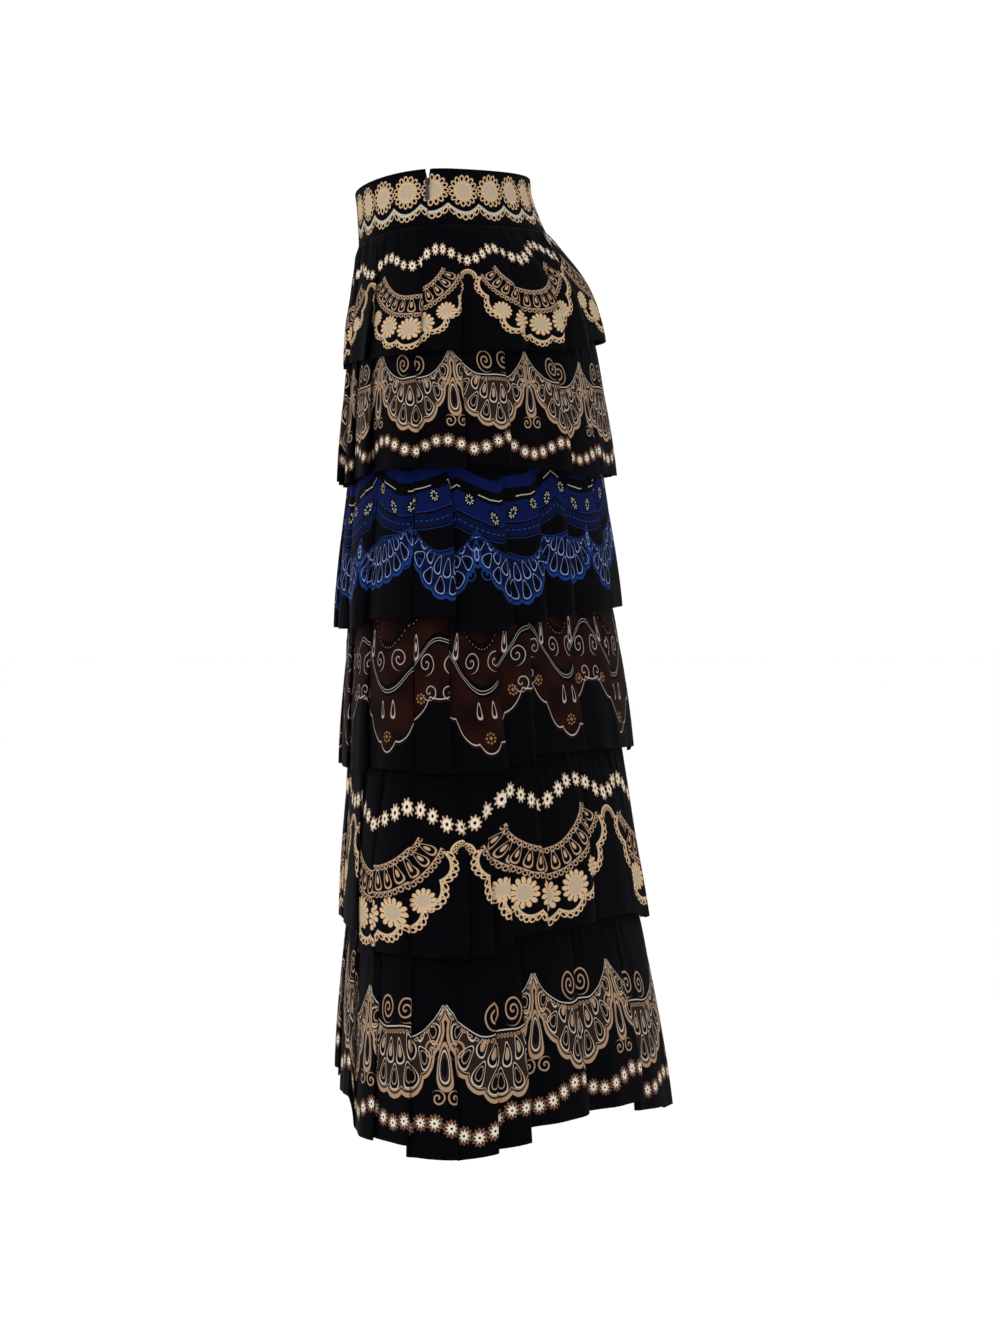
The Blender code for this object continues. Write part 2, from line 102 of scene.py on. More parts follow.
# Each tier as its solid has it: top seam, hem at front, side and back, the hem's lifts, how
# far its folds stand out, the most that a fold swells, and where the shown folds tuck in
Tier = namedtuple(
    "Tier", "top hem_front hem_side hem_back lift front_lift out_front out_side out_back swell tucks"
)
TIERS = (
    Tier(-0.0583, -0.194, -0.192, -0.178, 0.000, 0.000, 0.0150, 0.019, 0.020, 0.0095,
         (-0.094, -0.065, 0.017, 0.064, 0.108, 0.140)),
    Tier(-0.150, -0.318, -0.306, -0.312, 0.000, 0.000, 0.0205, 0.021, 0.018, 0.0105,
         (-0.088, -0.060, 0.022, 0.066, 0.115, 0.148)),
    Tier(-0.280, -0.472, -0.467, -0.450, 0.000, 0.000, 0.0215, 0.022, 0.018, 0.012,
         (-0.092, -0.058, 0.012, 0.065, 0.100, 0.127, 0.160)),
    Tier(-0.425, -0.618, -0.609, -0.603, 0.008, 0.000, 0.0140, 0.022, 0.017, 0.012,
         (-0.085, -0.062, 0.015, 0.058, 0.092, 0.130, 0.172)),
    Tier(-0.572, -0.802, -0.793, -0.784, 0.020, 0.028, 0.0140, 0.023, 0.018, 0.014,
         (-0.070, 0.018, 0.043, 0.070, 0.094, 0.147, 0.185)),
    Tier(-0.745, -0.990, -0.988, -0.991, 0.022, 0.042, 0.0180, 0.026, 0.020, 0.018,
         (-0.075, -0.050, 0.022, 0.055, 0.084, 0.142, 0.188)),
)
# How the folds are laid out: the widest that one gets before it is split, how far its tuck
# stays off the form at the least, its swell as a share of its width, and how much sooner
# than evenly it opens below the seam
WIDEST_FOLD = radians(30.0)
LEAST_OUT = 0.0096
FOLD_SHARE = 0.26
FOLD_SPREAD = 0.6
# How soon the front's hem lift is reached past its edge, on the shown side and on the far one
FRONT_TURN = radians(22.0)
FAR_FRONT_TURN = radians(55.0)
# The hidden side's folds are the shown ones, moved about a little
HIDDEN_DRIFT = 0.05
HIDDEN_WAVES = 5
SETTLE_ROUNDS = 12


def form_at(z):
    """Front, back, half width and taper of the form at heights z, on smooth curves through FORM."""
    rows = np.array(FORM)[::-1]
    heights, values = rows[:, 0], rows[:, 1:]
    here = np.arange(len(rows))
    up, down = np.minimum(here + 1, len(rows) - 1), np.maximum(here - 1, 0)
    slopes = (values[up] - values[down]) / (heights[up] - heights[down])[:, None]
    z = np.clip(z, heights[0], heights[-1])
    i = np.clip(np.searchsorted(heights, z, side="right") - 1, 0, len(rows) - 2)
    span = (heights[i + 1] - heights[i])[..., None]
    t = (z - heights[i])[..., None] / span
    found = (
        (2 * t**3 - 3 * t**2 + 1) * values[i]
        + (t**3 - 2 * t**2 + t) * span * slopes[i]
        + (3 * t**2 - 2 * t**3) * values[i + 1]
        + (t**3 - t**2) * span * slopes[i + 1]
    )
    return np.moveaxis(found, -1, 0)


def section(z):
    """Centre, half depth, half width and taper of the form at heights z."""
    front, back, half_width, taper = form_at(np.asarray(z, float))
    # The width cos(a) * (1 - taper * sin(a)) is greatest at this sine, and there this great.
    widest_sine = (1 - np.sqrt(1 + 8 * taper**2)) / (4 * taper)
    greatest = np.sqrt(1 - widest_sine**2) * (1 - taper * widest_sine)
    return (back - front) / 2, (back + front) / 2, half_width / greatest, taper


def turned(angle, z):
    """The section's own angle for a place round the cloth: the seams stay in their plane."""
    centre, half_depth, _, _ = section(z)
    share = np.clip((BAND_BOTTOM - z) / (BAND_BOTTOM - HIP), 0, 1)
    seam = SEAM_AT_WAIST + (SEAM_BELOW_HIP - SEAM_AT_WAIST) * share
    at_seam = np.arcsin((seam - centre) / half_depth)
    return angle + (at_seam - SEAM_ANGLE) / cos(SEAM_ANGLE) * np.cos(angle)


def waist_tilt(angle, z):
    """How far the waist lies under its level at the front and over it at the back, down to the hip."""
    return by_side(angle, WAIST_DIP, 0.0, WAIST_LIFT) * smooth(HIP, BAND_BOTTOM, z)


def form_point(angle, z, out=0.0, along=0.0):
    """Points of the form at angles and heights, moved out and along the cloth."""
    angle, z, out, along = np.broadcast_arrays(angle, z, out, along)
    centre, half_depth, half_width, taper = section(z)
    a = turned(angle, z)
    x = half_width * np.cos(a) * (1 - taper * np.sin(a))
    y = centre + half_depth * np.sin(a)
    dx = half_width * (-np.sin(a) * (1 - taper * np.sin(a)) - taper * np.cos(a) ** 2)
    dy = half_depth * np.cos(a)
    size = np.hypot(dx, dy)
    dx, dy = dx / size, dy / size
    x, y = x + dy * out + dx * along, y - dx * out + dy * along
    return np.stack([x, y, z + waist_tilt(angle, z)], axis=-1)


def by_side(angle, front, side, back):
    """A value that goes from front to side to back round the skirt."""
    ahead, behind = np.maximum(-np.sin(angle), 0), np.maximum(np.sin(angle), 0)
    return side + (front - side) * ahead**2 + (back - side) * behind**2


def angle_at(behind, z):
    """The left side's angle where the cloth is this far behind the waist's centre."""
    centre, half_depth, _, _ = section(z)
    wanted = float(np.arcsin(np.clip((behind - centre) / half_depth, -1, 1)))
    angle = wanted
    for _ in range(SETTLE_ROUNDS):
        angle += wanted - float(turned(angle, z))
    return angle


def split_wide(tucks):
    """The tucks with more added wherever two lie too far apart for one fold."""
    found = [tucks[0]]
    for tuck in tucks[1:]:
        count = int((tuck - found[-1]) / WIDEST_FOLD) + 1
        start, step = found[-1], (tuck - found[-1]) / count
        found += [start + step * k for k in range(1, count)]
        found.append(tuck)
    return np.array(found)


def tucks_of(tier):
    """Tuck angles of the front and the back panel, each from seam to seam."""
    shown = [angle_at(behind, tier.hem_side) for behind in tier.tucks]
    left, right = SEAM_ANGLE, pi - SEAM_ANGLE
    hidden = [pi - a + HIDDEN_DRIFT * sin(HIDDEN_WAVES * a) for a in shown]
    back = [a for a in shown if a > left] + [a for a in reversed(hidden) if a < right]
    front = [a - tau for a in reversed(hidden) if a > right] + [a for a in shown if a < left]
    return split_wide([right - tau] + front + [left]), split_wide([left] + back + [right])


def hem_height(tier, angle):
    """Height of a tier's smooth hem line, which lifts towards the back."""
    hem = by_side(angle, tier.hem_front, tier.hem_side, tier.hem_back)
    return hem + tier.lift * np.maximum(np.sin(angle), 0) * np.abs(np.cos(angle)) * 2


def hem_steps(number, tucks, seed):
    """How far each fold of a panel hangs above the smooth hem line: more past the front's edges."""
    tier = TIERS[number - 1]
    middle = (tucks[:-1] + tucks[1:]) / 2
    front_edge = abs(angle_at(tier.tucks[0], tier.hem_side) + pi / 2)
    turn = np.where(middle > -pi / 2, FRONT_TURN, FAR_FRONT_TURN)
    past = np.clip((front_edge - np.abs(middle + pi / 2)) / turn, 0, 1)
    rise = tier.front_lift * past * (2 - past)
    behind = form_point(middle, tier.hem_side)[:, 1]
    for wave in HEM_WAVES[number - 1]:
        rise = rise + wave.rise * np.exp(-(((behind - wave.behind) / wave.reach) ** 2))
    uneven = np.random.default_rng(seed + 3).uniform(-HEM_UNEVEN, HEM_UNEVEN, len(middle))
    return rise + uneven


def smooth(low, high, x):
    """0 below low and 1 above high, with an even turn between."""
    t = np.clip((x - low) / (high - low), 0, 1)
    return t * t * (3 - 2 * t)


# How finely the cloth is divided
LEAST_STEPS = 12
CROWD = 0.06
SEAM_TURN = 0.0035

# How far down a tier, as a share, its cloth is measured along
HEM_READING = 0.85

# How uneven the folds are, each as its least and greatest: how far a fold lays over the next
# one, how full it is, how late it crests, and how far its tuck strays sideways on the way down
LAY_OVER = (0.30, 0.88)
FULLNESS = (0.60, 1.0)
FOLD_SKEW = (0.95, 1.6)
FOLD_ROUND = 0.8
STRAY = (-0.009, 0.009)
STRAY_TURNS = (2.0, 5.0)

# Seeded creases between the listed folds: gathers run down from the top seam, and
# flutes open towards the hem. Widths, depths and spacings in metres, ends as shares.
Crease = namedtuple("Crease", "spacing width depth start end")
GATHERS = Crease(0.0075, 0.0024, 0.0019, 0.0, 0.70)
FLUTES = Crease(0.0200, 0.0070, 0.0019, 0.20, 1.0)
CREASE_SEED = 41

# How uneven the creases are: factors on their spacing, width and depth, their sideways drift
# in metres on the way down, and how much of their length they reach
UNEVEN_SPACING = (0.6, 1.5)
UNEVEN_WIDTH = (0.7, 1.5)
UNEVEN_DEPTH = (0.4, 1.3)
CREASE_DRIFT = (-0.010, 0.010)
CREASE_REACH = (0.45, 1.0)

# How far each tier's hem hangs above (or below) its smooth line: metres behind
# the waist's centre, the reach to each side, and the rise. Each fold takes the rise at its middle.
HemWave = namedtuple("HemWave", "behind reach rise")
HEM_WAVES = (
    (HemWave(-0.075, 0.016, -0.003), HemWave(0.085, 0.014, 0.003), HemWave(0.150, 0.020, 0.010)),
    (HemWave(-0.075, 0.014, -0.005), HemWave(0.045, 0.016, 0.002), HemWave(0.130, 0.014, -0.003)),
    (HemWave(-0.022, 0.024, 0.022), HemWave(0.040, 0.018, -0.003), HemWave(0.112, 0.012, 0.003)),
    (HemWave(-0.060, 0.020, 0.004), HemWave(0.040, 0.014, -0.003), HemWave(0.110, 0.014, 0.004)),
    (HemWave(-0.030, 0.022, 0.004), HemWave(0.030, 0.012, -0.004), HemWave(0.083, 0.010, 0.004)),
    (HemWave(-0.105, 0.022, 0.016), HemWave(-0.048, 0.026, 0.015), HemWave(0.036, 0.014, -0.004),
     HemWave(0.120, 0.022, 0.009), HemWave(0.172, 0.022, 0.009)),
)
HEM_UNEVEN = 0.0022

# The share of a fold after which the next one hides it, how far a tier lies in at its seams,
# and how far from a seam its folds and creases have their full height
HIDDEN_END = 0.80
SEAM_SWELL = 0.005
SEAM_FADE = 0.010


def ruffle_columns(widths, step):
    """Places along a panel, counted in folds and closer together at the tucks."""
    places = []
    for number, width in enumerate(widths):
        count = max(LEAST_STEPS, round(width / step))
        t = np.arange(count) / count
        places += list(number + t - CROWD * np.sin(tau * t))
    return np.array(places + [float(len(widths))])


def creases(kind, way, across, share, seed):
    """Soft seeded creases: way is 1 for ridges, -1 for troughs, and 0 for some of each."""
    random = np.random.default_rng(seed)
    total = np.zeros(np.broadcast(across, share).shape)
    place = 0.0
    while place < across.max():
        place += kind.spacing * random.uniform(*UNEVEN_SPACING)
        width = kind.width * random.uniform(*UNEVEN_WIDTH)
        depth = kind.depth * random.uniform(*UNEVEN_DEPTH) * (way or random.choice((-1, 1)))
        drift = random.uniform(*CREASE_DRIFT)
        reach = random.uniform(*CREASE_REACH)
        if kind.start:
            fade = smooth(kind.start * (0.6 + reach), kind.end, share)
        else:
            fade = smooth(0, 0.05, share) * (1 - smooth(0.1, kind.end * reach, share))
        total += depth * np.exp(-(((across - place - drift * share) / width) ** 2)) * fade
    return total


def uneven_folds(seed, count):
    """How far each fold of a panel lays over, how full it is and how late it crests."""
    random = np.random.default_rng(seed)
    return tuple(random.uniform(*span, count) for span in (LAY_OVER, FULLNESS, FOLD_SKEW))


def straying_tucks(seed, count, share):
    """How far each tuck strays along the cloth at each height; the seams stay where they are."""
    random = np.random.default_rng(seed + 2)
    reach, turn = random.uniform(*STRAY, count + 1), random.uniform(*STRAY_TURNS, count + 1)
    start = random.uniform(0, tau, count + 1)
    reach[0] = reach[-1] = 0.0
    return reach * (np.sin(start + turn * share) - np.sin(start))


def ruffle_points(number, seed, tucks, steps, sizes):
    """A ruffle panel as a grid of points, a row for each height, and its flat cloth in metres.

    The hem's steps are one for each fold and then that of the next panel's first fold.
    """
    tier = TIERS[number - 1]
    marks = form_point(tucks, tier.hem_side)
    widths = np.linalg.norm(np.diff(marks, axis=0), axis=1)
    ends = np.concatenate([[0.0], np.cumsum(widths)])
    column = ruffle_columns(widths, sizes.column_step)
    fold = np.minimum(column.astype(int), len(widths) - 1)
    place = column - fold
    angle = tucks[fold] + (tucks[fold + 1] - tucks[fold]) * place
    # The change from one fold's hem to the next lies where the fold hides it.
    late = smooth(HIDDEN_END, 1, place)
    hem = hem_height(tier, angle) + steps[fold] * (1 - late) + steps[fold + 1] * late
    out = by_side(angle, tier.out_front, tier.out_side, tier.out_back)
    swell = np.minimum(np.minimum(FOLD_SHARE * widths[fold], tier.swell), out - LEAST_OUT)
    laps, full, skew = uneven_folds(seed, len(widths))
    swell = swell * full[fold]
    arch = np.sin(pi * np.clip(place, 0, 1) ** skew[fold]) ** FOLD_ROUND
    lean = laps[fold] * widths[fold] * np.sin(pi * place) * place

    rows = round((tier.top - tier.hem_side) / sizes.row_step)
    share = np.linspace(0, 1, rows + 1)[:, None]
    across = ends[fold] + widths[fold] * place
    inland = smooth(0, SEAM_FADE, across) * smooth(0, SEAM_FADE, ends[-1] - across)
    ripple = creases(GATHERS, 1, across, share, seed) + creases(FLUTES, 0, across, share, seed + 5)
    grown = share * (1 + FOLD_SPREAD - FOLD_SPREAD * share)
    z = tier.top + (hem - tier.top) * share
    stray = straying_tucks(seed, len(widths), share)
    lean = lean * share * (2 - share) + stray[:, fold] * (1 - place) + stray[:, fold + 1] * place
    sewn = TIER_CLEAR + TIER_WALL
    # Both panels stand equally far out at a seam, so that they meet there.
    rest = SEAM_SWELL + (swell - SEAM_SWELL) * inland
    stand = sewn + (out - rest - sewn) * share * (2 - share)
    points = form_point(angle, z, stand + swell * arch * grown + ripple * inland, lean)
    return points, flat_cloth(points, z - hem, HEM_READING)


def flat_cloth(points, above_hem, share):
    """Where each point lies in the flat cloth: along the hem and above it, in metres."""
    row = round(share * (len(points) - 1))
    steps = np.linalg.norm(np.diff(points[row], axis=0), axis=1)
    along = np.concatenate([[0.0], np.cumsum(steps)])
    return np.stack([np.broadcast_to(along, above_hem.shape), above_hem], axis=-1)


def turn_in_seams(points, flat):
    """Adds the seam allowances: a column at each end that turns in behind the panel."""
    def inwards(end, beside):
        across = end - beside
        level = np.stack([-across[:, 1], across[:, 0], np.zeros(len(across))], axis=-1)
        level /= np.linalg.norm(level, axis=1)[:, None]
        centre = np.stack([-end[:, 0], -end[:, 1], np.zeros(len(end))], axis=-1)
        return end + level * np.sign((level * centre).sum(axis=1))[:, None] * SEAM_TURN

    first, last = inwards(points[:, 0], points[:, 1]), inwards(points[:, -1], points[:, -2])
    points = np.concatenate([first[:, None], points, last[:, None]], axis=1)
    step = np.array([SEAM_TURN, 0.0])
    flat = np.concatenate([flat[:, :1] - step, flat, flat[:, -1:] + step], axis=1)
    return points, flat


def piece_from_grid(name, points, flat, materials, closed=False):
    """A mesh from a grid of points, rows downward and columns round the skirt, with its UV map."""
    rows, columns = points.shape[:2]
    index = np.arange(rows * columns).reshape(rows, columns)
    if closed:
        index = np.concatenate([index, index[:1]])
        flat = np.concatenate([flat, flat[:1]])
    corners = (index[:-1, :-1], index[1:, :-1], index[1:, 1:], index[:-1, 1:])
    faces = np.stack(corners, axis=-1).reshape(-1, 4)
    caps = [index[:-1, 0].tolist(), index[-2::-1, -1].tolist()] if closed else []
    spots = (flat[:-1, :-1], flat[1:, :-1], flat[1:, 1:], flat[:-1, 1:])
    spots = [np.stack(spots, axis=-2).reshape(-1, 2)] + [flat[:-1, 0], flat[-2::-1, -1]] * closed
    mesh = bpy.data.meshes.new(name)
    mesh.from_pydata(points.reshape(-1, 3).tolist(), [], faces.tolist() + caps)
    mesh.uv_layers.new(name=CLOTH_MAP).uv.foreach_set("vector", np.concatenate(spots).ravel())
    mesh.shade_smooth()
    for material in materials:
        mesh.materials.append(material)
    piece = bpy.data.objects.new(name, mesh)
    bpy.context.scene.collection.objects.link(piece)
    return piece


def thicken(piece, hem_thickness, hem_rows, columns):
    """Gives a cloth its thickness, inwards, which is double at the turned hem."""
    group = piece.vertex_groups.new(name="turned_hem")
    count = len(piece.data.vertices)
    group.add(list(range(count - hem_rows * columns, count)), 1.0, "REPLACE")
    solid = piece.modifiers.new("cloth_thickness", "SOLIDIFY")
    solid.thickness = hem_thickness
    solid.offset = -1
    solid.vertex_group = group.name
    solid.thickness_vertex_group = 0.5
    solid.material_offset = 1


# Cloth and print: flat cloth in metres on this UV map, read as millimetres
CLOTH_MAP = "flat_cloth"

# How soft a printed edge is: this many parts to a millimetre
CRISP = 2.4

# Cloth shifts a little under a screen, so no printed line is quite straight: how far it
# shifts in millimetres, and how many waves there are to a millimetre
SCREEN_DRIFT = 6.0
DRIFT_WAVES = 0.02

SIGNS = {
    ast.Add: ("ADD", operator.add),
    ast.Sub: ("SUBTRACT", operator.sub),
    ast.Mult: ("MULTIPLY", operator.mul),
    ast.Div: ("DIVIDE", operator.truediv),
}
CALLS = {
    "abs": "ABSOLUTE", "sqrt": "SQRT", "sin": "SINE", "cos": "COSINE", "atan2": "ARCTAN2",
    "wrap": "WRAP", "swing": "PINGPONG",
}

# Shapes that the formulas may call, each with its inputs. Line, ring and spiral are masks
# from 0 to 1, and drop is a distance in millimetres, below 0 inside it.
SHAPES = {
    "hypot": ("x y", "sqrt(x * x + y * y)"),
    "repeat": ("x pitch", "wrap(x, pitch / 2, pitch / -2)"),
    "line": ("off half", "fill(half - abs(off))"),
    "ring": ("x y radius half", "line(hypot(x, y) - radius, half)"),
    "spiral": ("r turn pitch half radius", "line(repeat(r + turn, pitch), half) * fill(radius - r)"),
    "drop": ("x y wide long", "hypot(x * (1.5 - 0.7 / long * y), y * (wide / long)) - wide"),
}


def plug(tree, node, inputs):
    """Sets a node's inputs, as numbers, colours or other nodes' outputs."""
    for key, value in inputs.items():
        if isinstance(value, bpy.types.NodeSocket):
            tree.links.new(value, node.inputs[key])
        else:
            node.inputs[key].default_value = value


def add(tree, kind, inputs, **settings):
    """A new node with its settings and its inputs."""
    node = tree.nodes.new("ShaderNode" + kind)
    for name, value in settings.items():
        setattr(node, name, value)
    plug(tree, node, inputs)
    return node


def noise(tree, scale, detail=2.0, flat=None):
    """A noise texture, over the flat cloth where that is given and else through space."""
    inputs = {"Scale": scale, "Detail": detail}
    if flat is None:
        return add(tree, "TexNoise", inputs)
    return add(tree, "TexNoise", {"Vector": flat, **inputs}, noise_dimensions="2D")


def flat_place(tree):
    """Each point's place in its flat cloth, in metres."""
    return add(tree, "UVMap", {}, uv_map=CLOTH_MAP).outputs[0]


def grey(tree, tone):
    """A grey of the given tone."""
    return add(tree, "CombineColor", {0: tone, 1: tone, 2: tone}).outputs[0]


def formula(tree, text, **known):
    """Adds the sums for each line `name = expression` of text, and returns all the named values."""
    def sums(operation, values, clamp=False):
        numbered = dict(enumerate(values))
        return add(tree, "Math", numbered, operation=operation, use_clamp=clamp).outputs[0]

    def work_out(term, names):
        if isinstance(term, ast.Constant):
            return float(term.value)
        if isinstance(term, ast.Name):
            return names[term.id]
        if isinstance(term, ast.UnaryOp):
            return work_out(ast.BinOp(term.operand, ast.Mult(), ast.Constant(-1)), names)
        if isinstance(term, ast.BinOp):
            operation, reckon = SIGNS[type(term.op)]
            values = [work_out(term.left, names), work_out(term.right, names)]
            plain = all(isinstance(value, float) for value in values)
            return reckon(*values) if plain else sums(operation, values)
        values = [work_out(argument, names) for argument in term.args]
        if term.func.id == "fill":
            return sums("MULTIPLY_ADD", [values[0], CRISP, 0.5], clamp=True)
        if term.func.id in SHAPES:
            wanted, body = SHAPES[term.func.id]
            return work_out(ast.parse(body).body[0].value, dict(zip(wanted.split(), values)))
        return sums(CALLS[term.func.id], values)

    names = {"tau": tau, **known}
    for step in ast.parse(text.strip()).body:
        names[step.targets[0].id] = work_out(step.value, names)
    return names


def new_material(name):
    """A material with its node tree and its shader."""
    material = bpy.data.materials.new(name)
    material.use_nodes = True
    return material, material.node_tree, material.node_tree.nodes["Principled BSDF"]


def linear(colour):
    """Blender's linear colour from an sRGB hex value such as "#d8b88c"."""
    parts = [int(colour[k : k + 2], 16) / 255 for k in (1, 3, 5)]
    return tuple(c / 12.92 if c <= 0.04045 else ((c + 0.055) / 1.055) ** 2.4 for c in parts)


class Print:
    """A cloth's colour while its motifs are printed on it, one over the other."""

    def __init__(self, tree, inks, scale):
        self.tree = tree
        self.inks = inks
        self.colour = (*inks.ground, 1.0)
        sized = {0: flat_place(tree), 3: 1 / MM / scale}
        self.flat = add(tree, "VectorMath", sized, operation="SCALE").outputs[0]
        drift = noise(tree, DRIFT_WAVES, flat=self.flat).outputs[1]
        shifted = {0: drift, 1: (SCREEN_DRIFT,) * 3, 2: self.flat}
        shifted = add(tree, "VectorMath", shifted, operation="MULTIPLY_ADD").outputs[0]
        place = add(tree, "SeparateXYZ", {0: shifted})
        self.u, self.v = place.outputs[0], place.outputs[1]

    def motif(self, text, **known):
        return formula(self.tree, text, **{"u": self.u, "v": self.v, **known})

    def ink(self, masks, **inks):
        """Prints the named masks in the order given, each in the ink named for it."""
        for mask, ink in inks.items():
            mix = {0: masks[mask], 6: self.colour, 7: (*getattr(self.inks, ink), 1.0)}
            self.colour = add(self.tree, "Mix", mix, data_type="RGBA").outputs[2]


MEDALLION = """
r = hypot(x, y)
a = repeat(atan2(y, x), tau / petals)
reach = hypot((r * cos(a) - size * 0.80) * 0.72, r * sin(a))
disc = fill(size * 0.62 - r)
core = fill(size * 0.50 - r)
rim = fill(size * 0.160 - reach)
hole = fill(size * 0.095 - reach)
"""

DAISY = """
r = hypot(x, y)
petal = fill(size * (0.80 + 0.20 * cos(atan2(y, x) * 9)) - r)
tip = petal * fill(r - size * 0.62)
eye = fill(size * 0.22 - r)
"""

# A drooping fan, taller than it is wide, of two rows of leaves within a scalloped border
FAN = """
x = repeat(u - shift, pitch)
below = top - v
r = hypot(x * 1.5, below)
t = atan2(x * 1.5, below)
inside = fill((1.45 - abs(t)) * r)
a = repeat(t, 0.29)
outer = drop(a * size * 0.80, r - size * 0.82, size * 0.098, size * 0.106)
inner = drop(repeat(t + 0.145, 0.29) * size * 0.60, r - size * 0.61, size * 0.078, size * 0.104)
edge = r - size + size * 2.1 * a * a
body = fill(0 - edge) * fill(r - size * (0.42 + 0.25 * t * t)) * inside
border = (line(edge + size * 0.020, size * 0.018) + line(edge + size * 0.062, thin)) * inside
outline = (line(outer, thin) + line(inner, thin)) * body
cell = (fill(0 - outer) + fill(0 - inner)) * body
seed = (line(outer + size * 0.040, thin) + fill(0 - inner - size * 0.036)) * body
rim = line(r - size * (0.40 + 0.25 * t * t), thin) * inside
beside = repeat(t * size * 0.45, size * 0.05)
pearl = ring(beside, r - size * (0.445 + 0.25 * t * t), size * 0.014, thin * 0.8) * inside
"""


def daisies(cloth, x, y, size, tip="peach"):
    """A daisy wherever x and y are both 0, as in each repeat of a chain."""
    cloth.ink(cloth.motif(DAISY, x=x, y=y, size=size), petal="daisy", tip=tip, eye="ground")


def waistband_print(cloth):
    """A row of medallions over lace scallops, millimetres above the band's lower edge."""
    place = cloth.motif("x = repeat(u - 8, 33)\ny = v - 38.5")
    spot = cloth.motif(MEDALLION, x=place["x"], y=place["y"], size=16.4, petals=15.0)
    cloth.ink(spot, rim="petal", hole="ground", disc="cream", core="biscuit")
    lace = cloth.motif("""
x = repeat(u - 8, 33)
edge = v - 15 - 8.5 / 272.25 * x * x
band = line(edge, 1.6)
rib = line(edge - 0.4, 0.3)
loop = ring(repeat(u - 8, 6.6), edge + 4.0, 2.6, 0.6)
""")
    cloth.ink(lace, loop="petal", band="lace", rib="biscuit")


def swag_print(cloth):
    """Daisies in a drooping chain over lace swags of drops and medallions."""
    chain = cloth.motif("""
x = repeat(u, 13.2857)
y = v - 103 + 6.5 * cos((u - x) * (tau / 93))
""")
    daisies(cloth, chain["x"], chain["y"], 6.3)
    swag = cloth.motif("""
x = repeat(u, 186)
far = hypot(x * 0.84, 80 - v)
below = 110 - v
r = hypot(x * 0.80, below)
t = atan2(x * 0.80, below)
inside = fill(64 - far) * fill((1.12 - abs(t)) * r)
top = line(r - 46, 0.35) + ring(repeat(t * 48, 4.4), r - 48.2, 1.5, 0.35)
seed = drop(repeat(t * 56, 9.6), r - 56, 4.0, 7.0)
drops = line(seed, 0.35) + fill(0 - seed - 2.3)
lower = line(r - 65, 0.35) + ring(repeat(t * 67, 4.6), r - 67.2, 1.6, 0.35)
fine = (top + drops + lower) * inside
""")
    cloth.ink(swag, fine="peach")
    row = cloth.motif("""
x = repeat(t * 80, 24)
y = r - 80.5
place = abs(t * 80 - x)
here = fill(60 - place)
size = 11.2 - 2.8 * fill(place - 36)
""", t=swag["t"], r=swag["r"])
    spot = cloth.motif(MEDALLION, x=row["x"], y=row["y"], size=row["size"], petals=13.0)
    edge = cloth.motif("""
rim = rim * here
disc = disc * here
core = core * here
around = atan2(x * 0.84, 80 - v) * 67
small = repeat(around, 23)
wave = far - 68 + 5.0 / 132 * small * small
low = fill(79 - v)
lace = line(wave, 1.0) * low
loop = ring(repeat(around, 4.6), wave - 3.0, 1.9, 0.5) * low
""", x=swag["x"], far=swag["far"], here=row["here"], rim=spot["rim"], disc=spot["disc"], core=spot["core"])
    cloth.ink(edge, rim="petal", disc="cream", core="biscuit", loop="petal", lace="cream")
    arch = cloth.motif("""
x = repeat(u - 93, 186)
y = v - 77
far = hypot(x, y * 1.3)
arc = (line(far - 12, 0.9) + ring(repeat(atan2(x, y) * 12, 4.6), far - 8.8, 1.6, 0.45)) * fill(y)
""")
    cloth.ink(arch, arc="petal")


def fan_print(cloth):
    """Drooping fans with scalloped peach borders, buds between them, and a chain of daisies."""
    fan = cloth.motif(FAN, shift=0.0, pitch=150.0, top=165.0, size=119.0, thin=0.6)
    cloth.ink(
        fan, body="brown", cell="cell", outline="white", seed="sand", border="sand",
        rim="white", pearl="sand",
    )
    bud = cloth.motif("""
x = repeat(u - 75, 150)
y = 92 - v
leaf = drop(x, y, 12, 25)
skin = fill(0 - leaf)
coat = line(leaf + 1.2, 1.1)
inner = line(leaf + 4.4, 0.5)
heart = fill(0 - leaf - 7.5)
side = abs(x) - 15
turn = spiral(hypot(side, y + 16), atan2(side, y + 16) * -0.95, 6.0, 0.9, 10.5)
side = abs(x) - 9.0
foot = spiral(hypot(side, y - 31), atan2(side, y - 31) * 0.86, 5.4, 0.8, 8.0)
""")
    cloth.ink(bud, skin="brown", coat="sand", inner="white", heart="cell", turn="sand", foot="sand")
    eye = cloth.motif("""
x = repeat(u, 150)
y = v - 134
side = abs(x) - 15
turn = spiral(hypot(side, y), atan2(y, side) * 1.05, 6.6, 0.9, 14.5)
""")
    cloth.ink(eye, turn="sand")
    chain = cloth.motif("""
x = repeat(u, 16)
y = v - 31 + 8 * cos((u - x) * (tau / 112))
halo = line(hypot(x, y) - 6.6 - 1.2 * cos(atan2(y, x) * 12), 1.3)
""")
    cloth.ink(chain, halo="bark")
    daisies(cloth, chain["x"], chain["y"], 5.8, tip="white")


